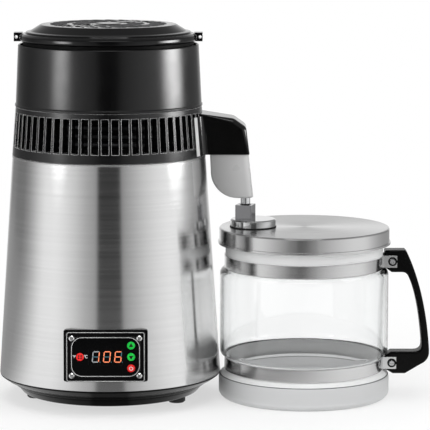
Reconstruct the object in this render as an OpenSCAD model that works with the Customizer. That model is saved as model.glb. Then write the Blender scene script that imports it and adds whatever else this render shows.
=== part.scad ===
// Countertop water distiller: a boiler with a lift-off fan and condenser head, and a glass jug.
// Millimetres, +Z up. The control panel faces -Y, the spout and the jug lie towards +X.
// The origin is on the counter, in the middle of the set's footprint.

/* [Boiler] */
// Height of the black base, from the counter to the steel shell
base_h = 27; // [24:0.5:34]
// Height of the feet under the base
foot_h = 7; // [5:0.5:10]
// Diameter of a foot
foot_d = 18; // [12:0.5:22]
// How far the feet's middles lie inside the shell's lower edge
foot_inset = 36.5; // [33:0.5:50]
// How far the base's flat underside lies inside the shell's lower edge
floor_inset = 22.5; // [18:0.5:26]
// How far the bead round the base lies inside the shell's lower edge
bead_inset = 14.5; // [12:0.5:17]
// Wall of the base moulding
base_t = 3; // [2:0.5:4]
// Diameter of the steel shell at its lower edge
shell_bottom_d = 229; // [222:1:240]
// Diameter of the steel shell at its upper edge
shell_top_d = 199; // [196:1:206]
// Height of the steel shell
shell_h = 224.5; // [210:0.5:250]
// Thickness of the steel shell
shell_t = 0.8; // [0.6:0.1:1.2]
// Gap between the pot's wall and the shell's upper edge
tank_gap = 7.5; // [5:0.5:14]
// Thickness of the pot's wall
tank_t = 1; // [0.8:0.1:1.5]
// Height of the pot's floor above the middle of the control panel
tank_lift = 28; // [27:0.5:40]
// Width of the pot's floor that the heating plate leaves free
heater_margin = 17; // [12:0.5:30]
// Thickness of the heating plate
heater_t = 10; // [6:0.5:12]

/* [Control panel] */
// Width of the panel plate
panel_w = 80; // [76:0.5:84]
// Height of the panel plate
panel_h = 50; // [48:0.5:54]
// Thickness of the panel plate
panel_t = 3; // [2.5:0.5:4]
// Height of the panel's centre above the steel shell's lower edge
panel_rise = 35.5; // [33:0.1:60]
// Width that the gasket shows outside the plate
gasket_lip = 2; // [1:0.5:3]
// Width of the rounded window
window_w = 69; // [66:0.5:70]
// Height of the rounded window
window_h = 40; // [39:0.5:41]
// Corner radius of the window
window_r = 8; // [7.5:0.5:10]
// Distance between the screws across the panel
screw_dx = 67.5; // [66:0.5:70]
// Distance between the screws up the panel
screw_dy = 37.5; // [36.5:0.5:39]
// Diameter of a panel screw's head
screw_head_d = 5.6; // [5:0.1:6.4]
// Diameter of a button's cap
button_d = 7.8; // [6:0.1:8.4]
// How far a button stands proud of the window
button_proud = 1.2; // [1:0.1:2]
// How far a button travels
button_travel = 0.8; // [0.4:0.1:1]
// Distance of the right-hand buttons from the panel's centre
button_x = 25.5; // [24:0.5:27]
// Distance between the right-hand buttons
button_pitch = 11.4; // [10.8:0.1:12]
// Width of the display's face
display_w = 34; // [30:0.5:36]
// Height of the display's face
display_h = 16; // [14:0.5:18]

/* [Head] */
// Height of the solid band under the louvres
louvre_band_h = 10; // [9:0.5:14]
// Height of the louvre slots
slot_h = 35; // [30:0.5:40]
// Height of the solid ring over the louvres
louvre_top_h = 5.5; // [4:0.5:8]
// Radial depth of a louvre fin
fin_depth = 9; // [6:0.5:10]
// Width of a louvre fin
fin_t = 3.0; // [1.8:0.1:4.5]
// Number of louvre fins in a full circle
fin_count = 60; // [40:2:64]
// How far the louvre ring draws in from the shell's upper edge to its own
louvre_draw = 4; // [2:0.5:6]
// Height of the black head shell
head_shell_h = 63; // [54:0.5:75]
// How far the head shell draws in towards its upper edge
head_draw = 3; // [1:0.5:5]
// Wall of the head shell
head_shell_t = 2; // [1.6:0.1:2.6]
// Thickness of the pot's steel lid
head_plate_t = 1.2; // [1:0.1:2]
// Thickness of the silicone seal under the lid
seal_t = 3; // [2:0.5:4]

/* [Condenser] */
// Gap between the coil and the louvre fins
coil_gap = 5; // [3:0.5:12]
// Diameter of the coil's tube
coil_tube_d = 7; // [6:0.5:7.5]
// Rise from one turn to the next
coil_pitch = 9; // [8.6:0.1:9.5]
// Bend radius of the tube at both ends
coil_bend_r = 16; // [12:0.5:18]
// Distance of the steam port from the boiler's axis
port_r = 34; // [30:1:38]

/* [Top cover and fan] */
// How far the cover's rim lies inside the head shell's upper edge
cover_step = 2; // [1:0.5:4]
// Height of the cover's rim
cover_rim_h = 7; // [6:0.5:12]
// Shadow gap between the head shell and the rim
cover_gap = 3; // [2:0.5:4]
// Height of the dome over the rim
dome_h = 10.5; // [6:0.5:14]
// Wall of the cover
cover_t = 2.4; // [2:0.1:3]
// Width of the flat ledge between the rim's edge and the dome
rim_ledge = 10.5; // [7:0.5:14]
// Width of the sloping part of the dome, round the flat grille
dome_w = 17; // [12:0.5:22]
// Width of a grille slot
grille_slot_w = 5.6; // [4:0.1:6]
// How far a lug reaches past the rim
lug_reach = 6; // [4:0.5:8]
// Width of a lug
lug_w = 14; // [10:0.5:18]
// Height of a lug
lug_h = 9; // [7:0.5:10]
// Gap between the fan's blades and the cover's neck
fan_gap = 13; // [10:0.5:22]
// Height of the fan's hub
fan_h = 12; // [8:0.5:13]
// Number of fan blades
blade_count = 7; // [5:1:9]
// Diameter of the fan's shaft
shaft_d = 6; // [5:0.5:8]
// Diameter of the fan's motor
motor_d = 50; // [40:1:56]
// Length of the fan's motor
motor_h = 28; // [22:0.5:32]

/* [Spout] */
// Width of the spout's housing
spout_w = 44; // [40:0.5:46]
// Reach of the housing past the shell's upper edge
spout_out = 45; // [42:0.5:50]
// Height of the housing at its root
spout_root_h = 42.5; // [40:0.5:44]
// Wall of the housing
spout_t = 2; // [1.5:0.1:2.5]
// Height of the grey nozzle under the housing
nozzle_h = 45; // [43:0.5:46]
// Length of the nozzle from its back to the housing's front
nozzle_l = 40.5; // [38:0.5:42]
// How far the nozzle's side lies inside the housing's side
nozzle_inset = 1; // [0.5:0.5:1.5]
// Diameter of the filter cup
filter_d = 24; // [20:0.5:26]
// Depth of the filter cup
filter_h = 30; // [20:0.5:32]
// Diameter of the drip tube
drip_d = 10; // [8:0.5:10.5]
// Distance of the drip tube's middle from the housing's front
drip_back = 4; // [3:0.5:6]

/* [Jug] */
// Gap between the glass and the steel shell, at the lower shoulder of the glass
jug_gap = 1.24; // [0.8:0.01:12]
// Diameter of the glass body
jug_d = 174.6; // [168:0.2:177]
// Diameter of the neck and of the waist under the bands
neck_d = 163; // [158:0.5:164.5]
// Diameter of the bulged foot
jug_foot_d = 177; // [172:0.5:179]
// Height of the neck, from the upper band's lower edge to the mouth
neck_h = 37; // [34:0.5:40]
// Wall of the glass
glass_t = 3.5; // [2.5:0.1:4.5]
// Height of the bulged foot
jug_foot_h = 28.5; // [26:0.5:29]
// Height of a steel band
band_h = 12.5; // [10:0.5:13]
// Thickness of a steel band
band_t = 1; // [0.8:0.1:1.4]
// Outer diameter of the lid's skirt
lid_d = 176; // [175.5:0.5:179]
// Height of the lid's skirt
lid_h = 16.5; // [14:0.5:18]
// Thickness of the lid
lid_t = 1; // [0.8:0.1:1.4]
// Thickness of the lid's seal
lid_seal_t = 3; // [2:0.5:4]
// Distance from the collar's bore to the middle of the chrome disc
flange_shift = 8; // [5:0.5:11]
// Diameter of the chrome disc
flange_d = 47; // [45:0.5:50]
// Thickness of the chrome disc
flange_t = 8.5; // [7:0.5:9]
// Side of the square collar
collar_w = 17.5; // [16:0.5:19]
// Height of the square collar
collar_h = 14.7; // [12:0.1:17]
// Turn of the square collar about its bore
collar_turn = -15; // [-45:1:45]

/* [Handle] */
// Reach of the handle from the jug's axis
handle_reach = 130; // [124:0.5:140]
// Width of the handle
handle_w = 20; // [16:0.5:24]
// Height of a handle lug
handle_lug_h = 23; // [20:0.5:23.5]
// Thickness of the grip at the top
grip_top_t = 5.2; // [4.5:0.1:7]
// Thickness of the grip at the bottom
grip_bottom_t = 8; // [7:0.1:9]
// How far a band's tab reaches past the band
tab_reach = 14; // [12:0.5:16]

/* [Hidden] */

$fn = 96;
// Overlap of a cutter past the face that it cuts
cut = 1;
// Gap between pieces that slide past each other or rest on each other
rest_gap = 0.3;
// Gap between curved pieces fixed to each other
fit_gap = 0.15;
// Radial clearance of a turning shaft
run_gap = 0.05;

// Boiler
shell_z = base_h;
shell_top_z = shell_z + shell_h;
shell_slope = (shell_bottom_d - shell_top_d) / 2 / shell_h;
panel_tilt = atan(shell_slope);
tank_r = shell_top_d / 2 - tank_gap;
foot_r = shell_bottom_d / 2 - foot_inset;
heater_r = tank_r - heater_margin;
rim_t = 1.2;
rim_r = shell_top_d / 2;
foot_angles = [-27, 81, 189];
spigot_h = 6;

// Places of the two units
shoulder_h = 7;
band_seat = 1;
body_z = jug_foot_h + band_h + 2 * band_seat;
jug_offset = shell_r(body_z + shoulder_h) + jug_d / 2 + jug_gap;
overall_w = shell_bottom_d / 2 + jug_offset + handle_reach;
boiler_x = shell_bottom_d / 2 - overall_w / 2;
jug_x = boiler_x + jug_offset;

// Mains inlet
inlet_w = 27;
inlet_h = 20;
inlet_depth = 18;
inlet_wall = 2;
inlet_lip = 2.5;
inlet_z = shell_z + spigot_h + 1 + inlet_h / 2;
pin_w = 2;
pin_h = 6;
pin_gap = 7;

// Control panel, in its own plane: x across, y up, z outwards
panel_z = shell_z + panel_rise;
tank_z = panel_z + tank_lift;
window_t = 2;
window_back = panel_t - 0.4 - window_t;
window_front = window_back + window_t;
bezel_w = 1.2;
board_w = panel_w - 8;
board_h = panel_h - 7;
board_t = 1.6;
button_flange_t = 1.6;
button_flange_r = button_d / 2 + 1.1;
button_stem = 3;
switch_w = 6;
switch_h = 3;
plunger_d = 3.4;
plunger_h = 1;
button_back = window_back - rest_gap - button_flange_t - button_stem;
switch_top = button_back - button_travel - rest_gap;
board_front = switch_top - plunger_h - switch_h;
shell_hole_w = board_w + 2;
shell_hole_h = board_h + 2;
post_d = 6.4;
pilot_d = 2.9;
unit_button_x = -25.5;
button_places = [
    [unit_button_x, 0], [button_x, button_pitch], [button_x, 0], [button_x, -button_pitch]
];

// Head, from the pot's rim upwards
head_z = shell_top_z + rim_t + rest_gap;
plate_z = head_z + seal_t;
plate_top = plate_z + head_plate_t;
slot_z = head_z + louvre_band_h;
louvre_top_z = slot_z + slot_h + louvre_top_h;
louvre_bottom_r = shell_top_d / 2;
louvre_top_r = louvre_bottom_r - louvre_draw;
louvre_slope = (louvre_bottom_r - louvre_top_r) / (louvre_top_z - head_z);
skirt_t = 2;
head_top_z = louvre_top_z + head_shell_h;
head_shell_top_r = louvre_top_r - head_draw;
lip_h = 3;
lip_t = 0.7;
ledge_h = 3;
ledge_drop = 6;
ledge_w = 5;
fan_inlet_rise = 18;

// Cover and fan
bracket_t = 2;
bracket_z = head_top_z - ledge_drop;
cover_seat_z = bracket_z + bracket_t;
rim_z = head_top_z + cover_gap;
rim_top_z = rim_z + cover_rim_h;
cover_top_z = rim_top_z + dome_h;
cover_r = head_shell_top_r - cover_step;
neck_r = cover_r - 3;
dome_r = cover_r - rim_ledge;
grille_r = dome_r - dome_w;
bracket_r = neck_r + 0.8;
arm_w = 8;
arm_t = 4;
fan_z = cover_seat_z + 3;
hub_r = 20;
blade_tilt = 28;
blade_t = 2;
bearing_depth = 20;

// Spout, in the boiler's XZ plane
spout_z = head_z + 1.5;
spout_reach = shell_top_d / 2 + spout_out;
drip_x = spout_reach - drip_back;
spout_slope_x = spout_reach - 16;
spout_slope_drop = 5.5;
spout_nose_drop = 14.5;
spout_nose_x = spout_reach - 3.5;
spout_corner_r = 7;
plan_past = 1;
nozzle_w = spout_w - 2 * nozzle_inset;
nozzle_z = spout_z - nozzle_h;
nozzle_back_x = spout_reach - nozzle_l;
nozzle_round_r = 26;
nozzle_toe = 4;
filter_x = nozzle_back_x + filter_d / 2 + 4;
filter_t = 1.5;
drip_t = 1;
drip_grip = 16;
drip_clear = 1;
drip_stub = 8;
duct_d = 6;
duct_z = spout_z - filter_h + duct_d;

// Condenser coil: a straight run out from the steam port, a bend, the turns, a bend, a straight run
tube_r = coil_tube_d / 2;
coil_r = louvre_top_r - fin_depth - coil_gap - tube_r;
bend_in_x = sqrt(coil_r * coil_r - 2 * coil_r * coil_bend_r);
bend_in_turn = atan(coil_bend_r / bend_in_x);
bend_out_turn = asin(coil_bend_r / (coil_r + coil_bend_r));
bend_out_x = (coil_r + coil_bend_r) * cos(bend_out_turn);
wind_from = 180 + bend_in_turn;
wind_to = 4 * 360 - bend_out_turn;
coil_bottom_z = slot_z + 5;
coil_top_z = coil_bottom_z + coil_pitch * (wind_to - wind_from) / 360;
port_boss_h = 4;
coil_start_r = port_r + coil_tube_d + 4;
coil_end_x = filter_x - tube_r;
loop_rings = 24;
bend_rings = 8;
tube_sides = 6;
clip_angles = [90, 225, 315];
clip_t = 3;
clip_w = 7;
clip_margin = 8;
tooth_t = 1.2;
tooth_gap = 0.2;
clip_r = coil_r - tube_r - 1;
drum_t = 1.2;
drum_gap = 1;
drum_drop = 3;

// Jug, from the counter upwards
neck_outer_r = neck_d / 2;
jug_r = jug_d / 2;
jug_foot_r = jug_foot_d / 2;
foot_round = 7;
lower_band_z = jug_foot_h + band_seat;
drip_end_z = nozzle_z - drip_stub;
collar_top_z = drip_end_z - drip_clear;
flange_top_z = collar_top_z - collar_h;
lid_top_z = flange_top_z - flange_t;
jug_h = lid_top_z - lid_t - lid_seal_t - rest_gap;
upper_band_z = jug_h - neck_h;
neck_z = upper_band_z - band_seat;
glass_floor_t = glass_t + 2;
band_r = neck_outer_r + fit_gap;
lid_lip_t = 1.2;
lid_lip_h = 2;
collar_x = drip_x - jug_offset;
collar_bore_d = 12;

// Handle, in the jug's XZ plane
handle_root_x = band_r + band_t + 0.4;
handle_clear_x = jug_r + 3;
handle_top_z = upper_band_z + band_h / 2 + handle_lug_h / 2;
handle_bottom_z = lower_band_z + band_h / 2 - handle_lug_h / 2;
lug_top_x = handle_root_x + 23;
lug_bottom_x = handle_root_x + 22;
handle_screw_x = handle_root_x + 8;
handle_screw_d = 4;
handle_screw_head_d = 8;
handle_screw_head_h = 2.4;

// Radius of the steel shell at a height above the counter
function shell_r(z) = shell_bottom_d / 2 - shell_slope * (z - shell_z);

// Radius of the louvre ring at a height above the counter
function louvre_r(z) = louvre_bottom_r - louvre_slope * (z - head_z);

// Point on a circle about a centre
function arc_point(centre, r, angle) = [centre[0] + r * cos(angle), centre[1] + r * sin(angle)];

// Points of an arc, in steps of its angle
function arc(centre, r, from, to, steps) =
    [for (i = [0:steps]) arc_point(centre, r, from + (to - from) * i / steps)];

// Points of a quadratic curve from a to c, drawn towards b
function curve(a, b, c, steps) =
    [for (i = [0:steps]) let (t = i / steps) (1 - t) * (1 - t) * a + 2 * t * (1 - t) * b + t * t * c];

// Unit vector along v
function unit(v) = v / norm(v);

module at_boiler() { translate([boiler_x, 0, 0]) children(); }

module at_jug() { translate([jug_x, 0, 0]) children(); }

// Places its children on the panel's plane, at the middle of the panel
module on_panel() {
    at_boiler()
        translate([0, -shell_r(panel_z), panel_z])
            rotate([90 - panel_tilt, 0, 0]) translate([0, 0, rest_gap]) children();
}

module ring(outer_r, inner_r, h) {
    difference() {
        cylinder(r = outer_r, h = h);
        translate([0, 0, -cut]) cylinder(r = inner_r, h = h + 2 * cut);
    }
}

// Flat rectangle with round corners, centred
module rounded_rect(w, h, r) {
    square([w - 2 * r, h], center = true);
    square([w, h - 2 * r], center = true);
    for (x = [-1, 1], y = [-1, 1]) translate([x * (w / 2 - r), y * (h / 2 - r)]) circle(r = r);
}

// Straight slot with round ends, along X, centred
module slot_outline(length, w) {
    square([length - w, w], center = true);
    for (x = [-1, 1]) translate([x * (length - w) / 2, 0]) circle(d = w, $fn = 24);
}

// Flat outline in the XZ plane carried along Y, centred
module slab(w) {
    rotate([90, 0, 0]) linear_extrude(height = w, center = true) children();
}

// Boiler

module base_pan() {
    floor_r = shell_bottom_d / 2 - floor_inset;
    bead_r = shell_bottom_d / 2 - bead_inset;
    top_r = shell_bottom_d / 2 - 0.3;
    bead_z = foot_h + 9.6;
    spigot_r = shell_r(shell_z + spigot_h) - shell_t - rest_gap;
    color("#1b1b1c") at_boiler() rotate_extrude() polygon([
        [0, foot_h], [floor_r - 2, foot_h], [floor_r, foot_h + 0.8], [floor_r + 3.4, foot_h + 4.5],
        [bead_r - 2.5, bead_z - 1], [bead_r - 0.6, bead_z - 0.7], [bead_r, bead_z],
        [bead_r + 7, bead_z + 4.2], [top_r - 1.5, shell_z - 2], [top_r, shell_z - 0.8], [top_r, shell_z],
        [spigot_r, shell_z], [spigot_r, shell_z + spigot_h],
        [spigot_r - base_t, shell_z + spigot_h], [spigot_r - base_t, shell_z - 1],
        [bead_r, bead_z + base_t], [floor_r - 3, foot_h + base_t], [0, foot_h + base_t]
    ]);
}

module feet() {
    toe = 1.5;
    color("#141414") at_boiler() for (a = foot_angles) rotate(a) translate([foot_r, 0, 0]) {
        translate([0, 0, toe]) cylinder(d = foot_d, h = foot_h - toe);
        cylinder(d1 = foot_d - 2 * toe, d2 = foot_d, h = toe);
    }
}

module outer_shell() {
    color("#b9bbbd") difference() {
        at_boiler() rotate_extrude() polygon([
            [shell_bottom_d / 2, shell_z], [shell_top_d / 2, shell_top_z],
            [shell_top_d / 2 - shell_t, shell_top_z], [shell_bottom_d / 2 - shell_t, shell_z]
        ]);
        on_panel() cube([shell_hole_w, shell_hole_h, 2 * panel_w], center = true);
        at_boiler() translate([0, shell_bottom_d / 2, inlet_z])
            cube([inlet_w + 0.6, shell_bottom_d / 2, inlet_h + 0.6], center = true);
    }
}

module boiler_tank() {
    knuckle = 8;
    inner_r = tank_r - tank_t;
    color("#c9cbcc") at_boiler() rotate_extrude() polygon(concat(
        [[0, tank_z]],
        arc([tank_r - knuckle, tank_z + knuckle], knuckle, -90, 0, 6),
        [
            [tank_r, shell_top_z], [rim_r, shell_top_z], [rim_r, shell_top_z + rim_t],
            [inner_r, shell_top_z + rim_t]
        ],
        arc([tank_r - knuckle, tank_z + knuckle], knuckle - tank_t, 0, -90, 6),
        [[0, tank_z + tank_t]]
    ));
}

module heater_plate() {
    rib_h = 3;
    rib_w = 6;
    pad_r = 15;
    color("#8d9093") at_boiler() translate([0, 0, tank_z - heater_t]) {
        translate([0, 0, rib_h]) cylinder(r = heater_r, h = heater_t - rib_h);
        ring(heater_r, heater_r - rib_w, rib_h);
        cylinder(r = pad_r, h = rib_h);
    }
}

module heater_ring() {
    element_d = 8;
    lead = 14;
    ring_inset = 18;
    plate_recess = 3;
    mid_r = heater_r - ring_inset;
    mid_z = tank_z - heater_t + plate_recess - element_d / 2 - run_gap;
    color("#5c5a57") at_boiler() translate([0, 0, mid_z]) {
        rotate([0, 0, 15]) rotate_extrude(angle = 330) translate([mid_r, 0]) circle(d = element_d, $fn = 32);
        for (a = [15, 345]) rotate(a) translate([mid_r, 0, -lead]) cylinder(d = element_d - 2, h = lead);
    }
}

module thermal_cutout() {
    can_d = 18;
    can_h = 8;
    terminal = [0.8, 5, 7];
    color("#e9e6df") at_boiler() translate([0, 0, tank_z - heater_t - can_h]) {
        cylinder(d = can_d, h = can_h);
        translate([0, 0, can_h - 1.2]) cylinder(d = can_d + 6, h = 1.2);
        for (x = [-1, 1]) translate([x * 5, 0, -terminal[2] / 2]) cube(terminal, center = true);
    }
}

// Mains socket with three blades, low at the back
module mains_inlet() {
    flange_w = inlet_w + 2 * inlet_lip;
    flange_h = inlet_h + 2 * inlet_lip;
    face_y = shell_r(inlet_z - flange_h / 2) + rest_gap;
    corner = 5;
    recess_w = inlet_w - 2 * inlet_wall;
    recess_h = inlet_h - 2 * inlet_wall;
    color("#161616") at_boiler() translate([0, face_y, inlet_z]) rotate([-90, 0, 0]) {
        difference() {
            union() {
                linear_extrude(height = 2) rounded_rect(flange_w, flange_h, 3);
                translate([0, 0, -inlet_depth])
                    linear_extrude(height = inlet_depth + 1) square([inlet_w, inlet_h], center = true);
            }
            translate([0, 0, -inlet_depth + inlet_wall]) linear_extrude(height = inlet_depth + cut)
                polygon([
                    [-recess_w / 2, -recess_h / 2 + corner], [-recess_w / 2 + corner, -recess_h / 2],
                    [recess_w / 2 - corner, -recess_h / 2], [recess_w / 2, -recess_h / 2 + corner],
                    [recess_w / 2, recess_h / 2], [-recess_w / 2, recess_h / 2]
                ]);
        }
        for (x = [-1:1]) translate([x * pin_gap, 2 * (1 - abs(x)) - 1, -inlet_depth / 2])
            cube([pin_w, pin_h, inlet_depth - 2 * inlet_wall], center = true);
    }
}

// Control panel

module panel_gasket() {
    outer_w = panel_w + 2 * gasket_lip;
    outer_h = panel_h + gasket_lip;
    depth = shell_bottom_d / 2 - sqrt(pow(shell_bottom_d / 2, 2) - pow(outer_w / 2, 2)) + 2;
    color("#0f0f10") difference() {
        on_panel() translate([0, 0, -depth]) linear_extrude(height = depth) difference() {
            translate([0, gasket_lip / 2]) rounded_rect(outer_w, outer_h, 2);
            square([shell_hole_w, shell_hole_h], center = true);
        }
        at_boiler() translate([0, 0, shell_z]) cylinder(
            r1 = shell_bottom_d / 2 + fit_gap, r2 = shell_top_d / 2 + fit_gap, h = shell_h);
    }
}

module panel_frame() {
    bezel_h = 0.6;
    color("#0a0a0b") on_panel() difference() {
        union() {
            linear_extrude(height = panel_t) rounded_rect(panel_w, panel_h, 2);
            translate([0, 0, panel_t]) linear_extrude(height = bezel_h) rounded_rect(window_w, window_h, window_r);
            for (x = [-1, 1], y = [-1, 1]) translate([x * screw_dx / 2, y * screw_dy / 2, board_front])
                cylinder(d = post_d, h = -board_front + 0.5);
        }
        translate([0, 0, window_back]) linear_extrude(height = panel_t)
            rounded_rect(window_w - 2 * bezel_w, window_h - 2 * bezel_w, window_r - bezel_w);
        for (p = button_places) translate([p[0], p[1], -cut])
            cylinder(r = button_flange_r + rest_gap, h = panel_t + 2 * cut);
        linear_extrude(height = 4 * panel_t, center = true)
            square([display_w + 2 * rest_gap, display_h + 2 * rest_gap], center = true);
        for (x = [-1, 1], y = [-1, 1]) translate([x * screw_dx / 2, y * screw_dy / 2, board_front - cut])
            cylinder(d = pilot_d, h = 3 * panel_t - board_front);
        for (x = [-1, 1], y = [-1, 1]) translate([x * screw_dx / 2, y * screw_dy / 2, panel_t])
            cylinder(d = screw_head_d + 0.4, h = panel_t);
    }
}

// Smoked window with the holes for the buttons and the display
module panel_window() {
    color("#101013") on_panel() translate([0, 0, window_back]) linear_extrude(height = window_t) difference() {
        rounded_rect(window_w - 2 * bezel_w - fit_gap, window_h - 2 * bezel_w - fit_gap, window_r - bezel_w);
        for (p = button_places) translate(p) circle(d = button_d + 2 * rest_gap);
        square([display_w + fit_gap, display_h + fit_gap], center = true);
        for (x = [-1, 1], y = [-1, 1]) translate([x * screw_dx / 2, y * screw_dy / 2])
            circle(d = screw_head_d + 0.4);
    }
}

module panel_screws() {
    head_h = 1.8;
    shank = 8;
    slot = [screw_head_d * 0.6, 0.7, 1];
    color("#d4d5d6") on_panel() for (x = [-1, 1], y = [-1, 1])
        translate([x * screw_dx / 2, y * screw_dy / 2, panel_t]) {
            difference() {
                union() {
                    cylinder(d = screw_head_d, h = head_h * 0.55);
                    translate([0, 0, head_h * 0.55])
                        cylinder(d1 = screw_head_d, d2 = screw_head_d * 0.55, h = head_h * 0.45);
                }
                for (a = [20, 110]) rotate(a) translate([0, 0, head_h]) cube(slot, center = true);
            }
            translate([0, 0, -shank]) cylinder(d = pilot_d - 2 * run_gap, h = shank);
        }
}

module display_module() {
    color("#1a1412") on_panel() translate([0, 0, board_front])
        linear_extrude(height = window_front - fit_gap - board_front)
            square([display_w, display_h], center = true);
}

module control_board() {
    chip = [16, 12, 6];
    color("#20663a") on_panel() translate([0, 0, board_front - board_t]) {
        difference() {
            linear_extrude(height = board_t) square([board_w, board_h], center = true);
            for (x = [-1, 1], y = [-1, 1]) translate([x * screw_dx / 2, y * screw_dy / 2, -cut])
                cylinder(d = pilot_d, h = board_t + 2 * cut);
        }
        translate([-chip[0] / 2, -chip[1] / 3, -chip[2]]) cube(chip);
    }
}

module tact_switches() {
    color("#3a3a3c") on_panel() for (p = button_places) translate([p[0], p[1], board_front]) {
        translate([0, 0, switch_h / 2]) cube([switch_w, switch_w, switch_h], center = true);
        translate([0, 0, switch_h]) cylinder(d = plunger_d, h = plunger_h);
    }
}

// Button at place i: a domed cap, the flange that holds it in, and the stem over its switch
module button(i) {
    cap_top = window_front + button_proud;
    dome = 0.5;
    on_panel() translate([button_places[i][0], button_places[i][1], 0]) {
        translate([0, 0, cap_top - dome]) cylinder(d1 = button_d, d2 = button_d - 2 * dome, h = dome);
        translate([0, 0, window_back - rest_gap - cut])
            cylinder(d = button_d, h = cap_top - dome - window_back + rest_gap + cut);
        translate([0, 0, window_back - rest_gap - button_flange_t])
            cylinder(r = button_flange_r, h = button_flange_t);
        translate([0, 0, button_back]) cylinder(d = 4, h = button_stem + cut);
    }
}

module unit_button() { color("#e5241c") button(0); }

module up_button() { color("#12b53c") button(1); }

module down_button() { color("#12b53c") button(2); }

module power_button() { color("#e5241c") button(3); }

// Head

module head_plate() {
    color("#c4c6c8") at_boiler() difference() {
        union() {
            translate([0, 0, plate_z])
                cylinder(r = louvre_r(plate_z) - skirt_t - rest_gap, h = head_plate_t);
            translate([-port_r, 0, plate_z]) cylinder(d = coil_tube_d + 6, h = head_plate_t + port_boss_h);
        }
        translate([-port_r, 0, plate_z - cut])
            cylinder(d = coil_tube_d - 2, h = head_plate_t + port_boss_h + 2 * cut);
    }
}

module tank_seal() {
    outer_r = min(rim_r, louvre_r(plate_z) - skirt_t) - 1;
    color("#d9d9d6") at_boiler() translate([0, 0, head_z]) ring(outer_r, tank_r + 0.5, seal_t);
}

// Pipe from the steam port, up to a ball corner and out to the coil's upper end
module steam_elbow() {
    pipe_d = coil_tube_d + 2;
    ball_d = pipe_d + 2;
    foot_z = plate_top + port_boss_h;
    color("#b4b6b8") at_boiler() {
        translate([-port_r, 0, foot_z]) cylinder(d = pipe_d, h = coil_top_z - foot_z);
        translate([-port_r, 0, coil_top_z]) sphere(d = ball_d);
        translate([-coil_start_r, 0, coil_top_z]) rotate([0, 90, 0])
            cylinder(d = pipe_d, h = coil_start_r - port_r);
    }
}

// Height of the tube's middle at a wound angle
function wind_z(angle) = coil_top_z - coil_pitch * (angle - wind_from) / 360;

function coil_path() =
    let (
        bend_in = [-bend_in_x, -coil_bend_r],
        bend_out = [(coil_r + coil_bend_r) * cos(bend_out_turn), -(coil_r + coil_bend_r) * sin(bend_out_turn)],
        wind_steps = ceil((wind_to - wind_from) * loop_rings / 360)
    )
    concat(
        [[-coil_start_r, 0, coil_top_z]],
        [for (p = arc(bend_in, coil_bend_r, 90, 180 + bend_in_turn, bend_rings)) [p[0], p[1], coil_top_z]],
        [for (i = [1:wind_steps]) let (a = wind_from + (wind_to - wind_from) * i / wind_steps)
            [coil_r * cos(a), coil_r * sin(a), wind_z(a)]],
        [for (i = [1:bend_rings]) let (
                a = 180 - bend_out_turn - (90 - bend_out_turn) * i / bend_rings,
                p = arc_point(bend_out, coil_bend_r, a)
            ) [p[0], p[1], coil_bottom_z]],
        [[coil_end_x, 0, coil_bottom_z]]
    );

// Direction of the path at point i
function path_way(path, i) =
    unit(path[min(i + 1, len(path) - 1)] - path[max(i - 1, 0)]);

// Corners of the tube's section at point i
function tube_ring(path, i) =
    let (way = path_way(path, i), side = unit(cross(way, [0, 0, 1])), up = cross(side, way))
    [for (k = [0:tube_sides - 1]) let (a = 360 * k / tube_sides)
        path[i] + tube_r * (cos(a) * side + sin(a) * up)];

// Least distance between stretches of the tube that aren't neighbours along it
function tube_self_gap(path) =
    let (apart = ceil(loop_rings / 3))
    min([for (i = [0:len(path) - 1]) for (j = [i + apart:1:len(path) - 1]) norm(path[i] - path[j])]) - coil_tube_d;

module condenser_coil() {
    path = coil_path();
    count = len(path);
    last = (count - 1) * tube_sides;
    echo(coil_self_gap = tube_self_gap(path));
    color("#cfd1d3") at_boiler() polyhedron(
        points = [for (i = [0:count - 1]) each tube_ring(path, i)],
        faces = concat(
            [for (i = [0:count - 2]) for (k = [0:tube_sides - 1]) let (
                    a = i * tube_sides + k,
                    b = i * tube_sides + (k + 1) % tube_sides
                ) each [[a, b, b + tube_sides], [a, b + tube_sides, a + tube_sides]]],
            [for (k = [1:tube_sides - 2]) each [[0, k + 1, k], [last, last + k, last + k + 1]]]
        )
    );
}

// Combs on the lid, with a tooth under each turn of the coil
module coil_clips() {
    reach = coil_r + 2 - clip_r;
    drop = tube_r * sin(60) + tooth_gap;
    color("#9ea1a4") at_boiler() for (a = clip_angles) rotate(a) {
        translate([clip_r - clip_t, -clip_w / 2, plate_top])
            cube([clip_t, clip_w, wind_z(wind_from) - plate_top]);
        for (turn = [0:4]) let (wound = a + 360 * turn)
            if (wound > wind_from + clip_margin && wound < wind_to - clip_margin)
                translate([clip_r - cut, -clip_w / 2 + 2, wind_z(wound) - drop - tooth_t])
                    cube([reach + cut, clip_w - 4, tooth_t]);
    }
}

// Closed drum inside the coil, which sends the fan's air outwards over the turns
module air_drum() {
    outer_r = clip_r - clip_t - drum_gap;
    height = coil_top_z - tube_r - drum_drop - plate_top;
    pipe_hole_d = coil_tube_d + 4;
    color("#1b1b1d") at_boiler() translate([0, 0, plate_top]) difference() {
        cylinder(r = outer_r, h = height);
        translate([0, 0, -cut]) cylinder(r = outer_r - drum_t, h = height - drum_t + cut);
        translate([-port_r, 0, height - 2 * drum_t]) cylinder(d = pipe_hole_d, h = 3 * drum_t);
    }
}

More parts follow.
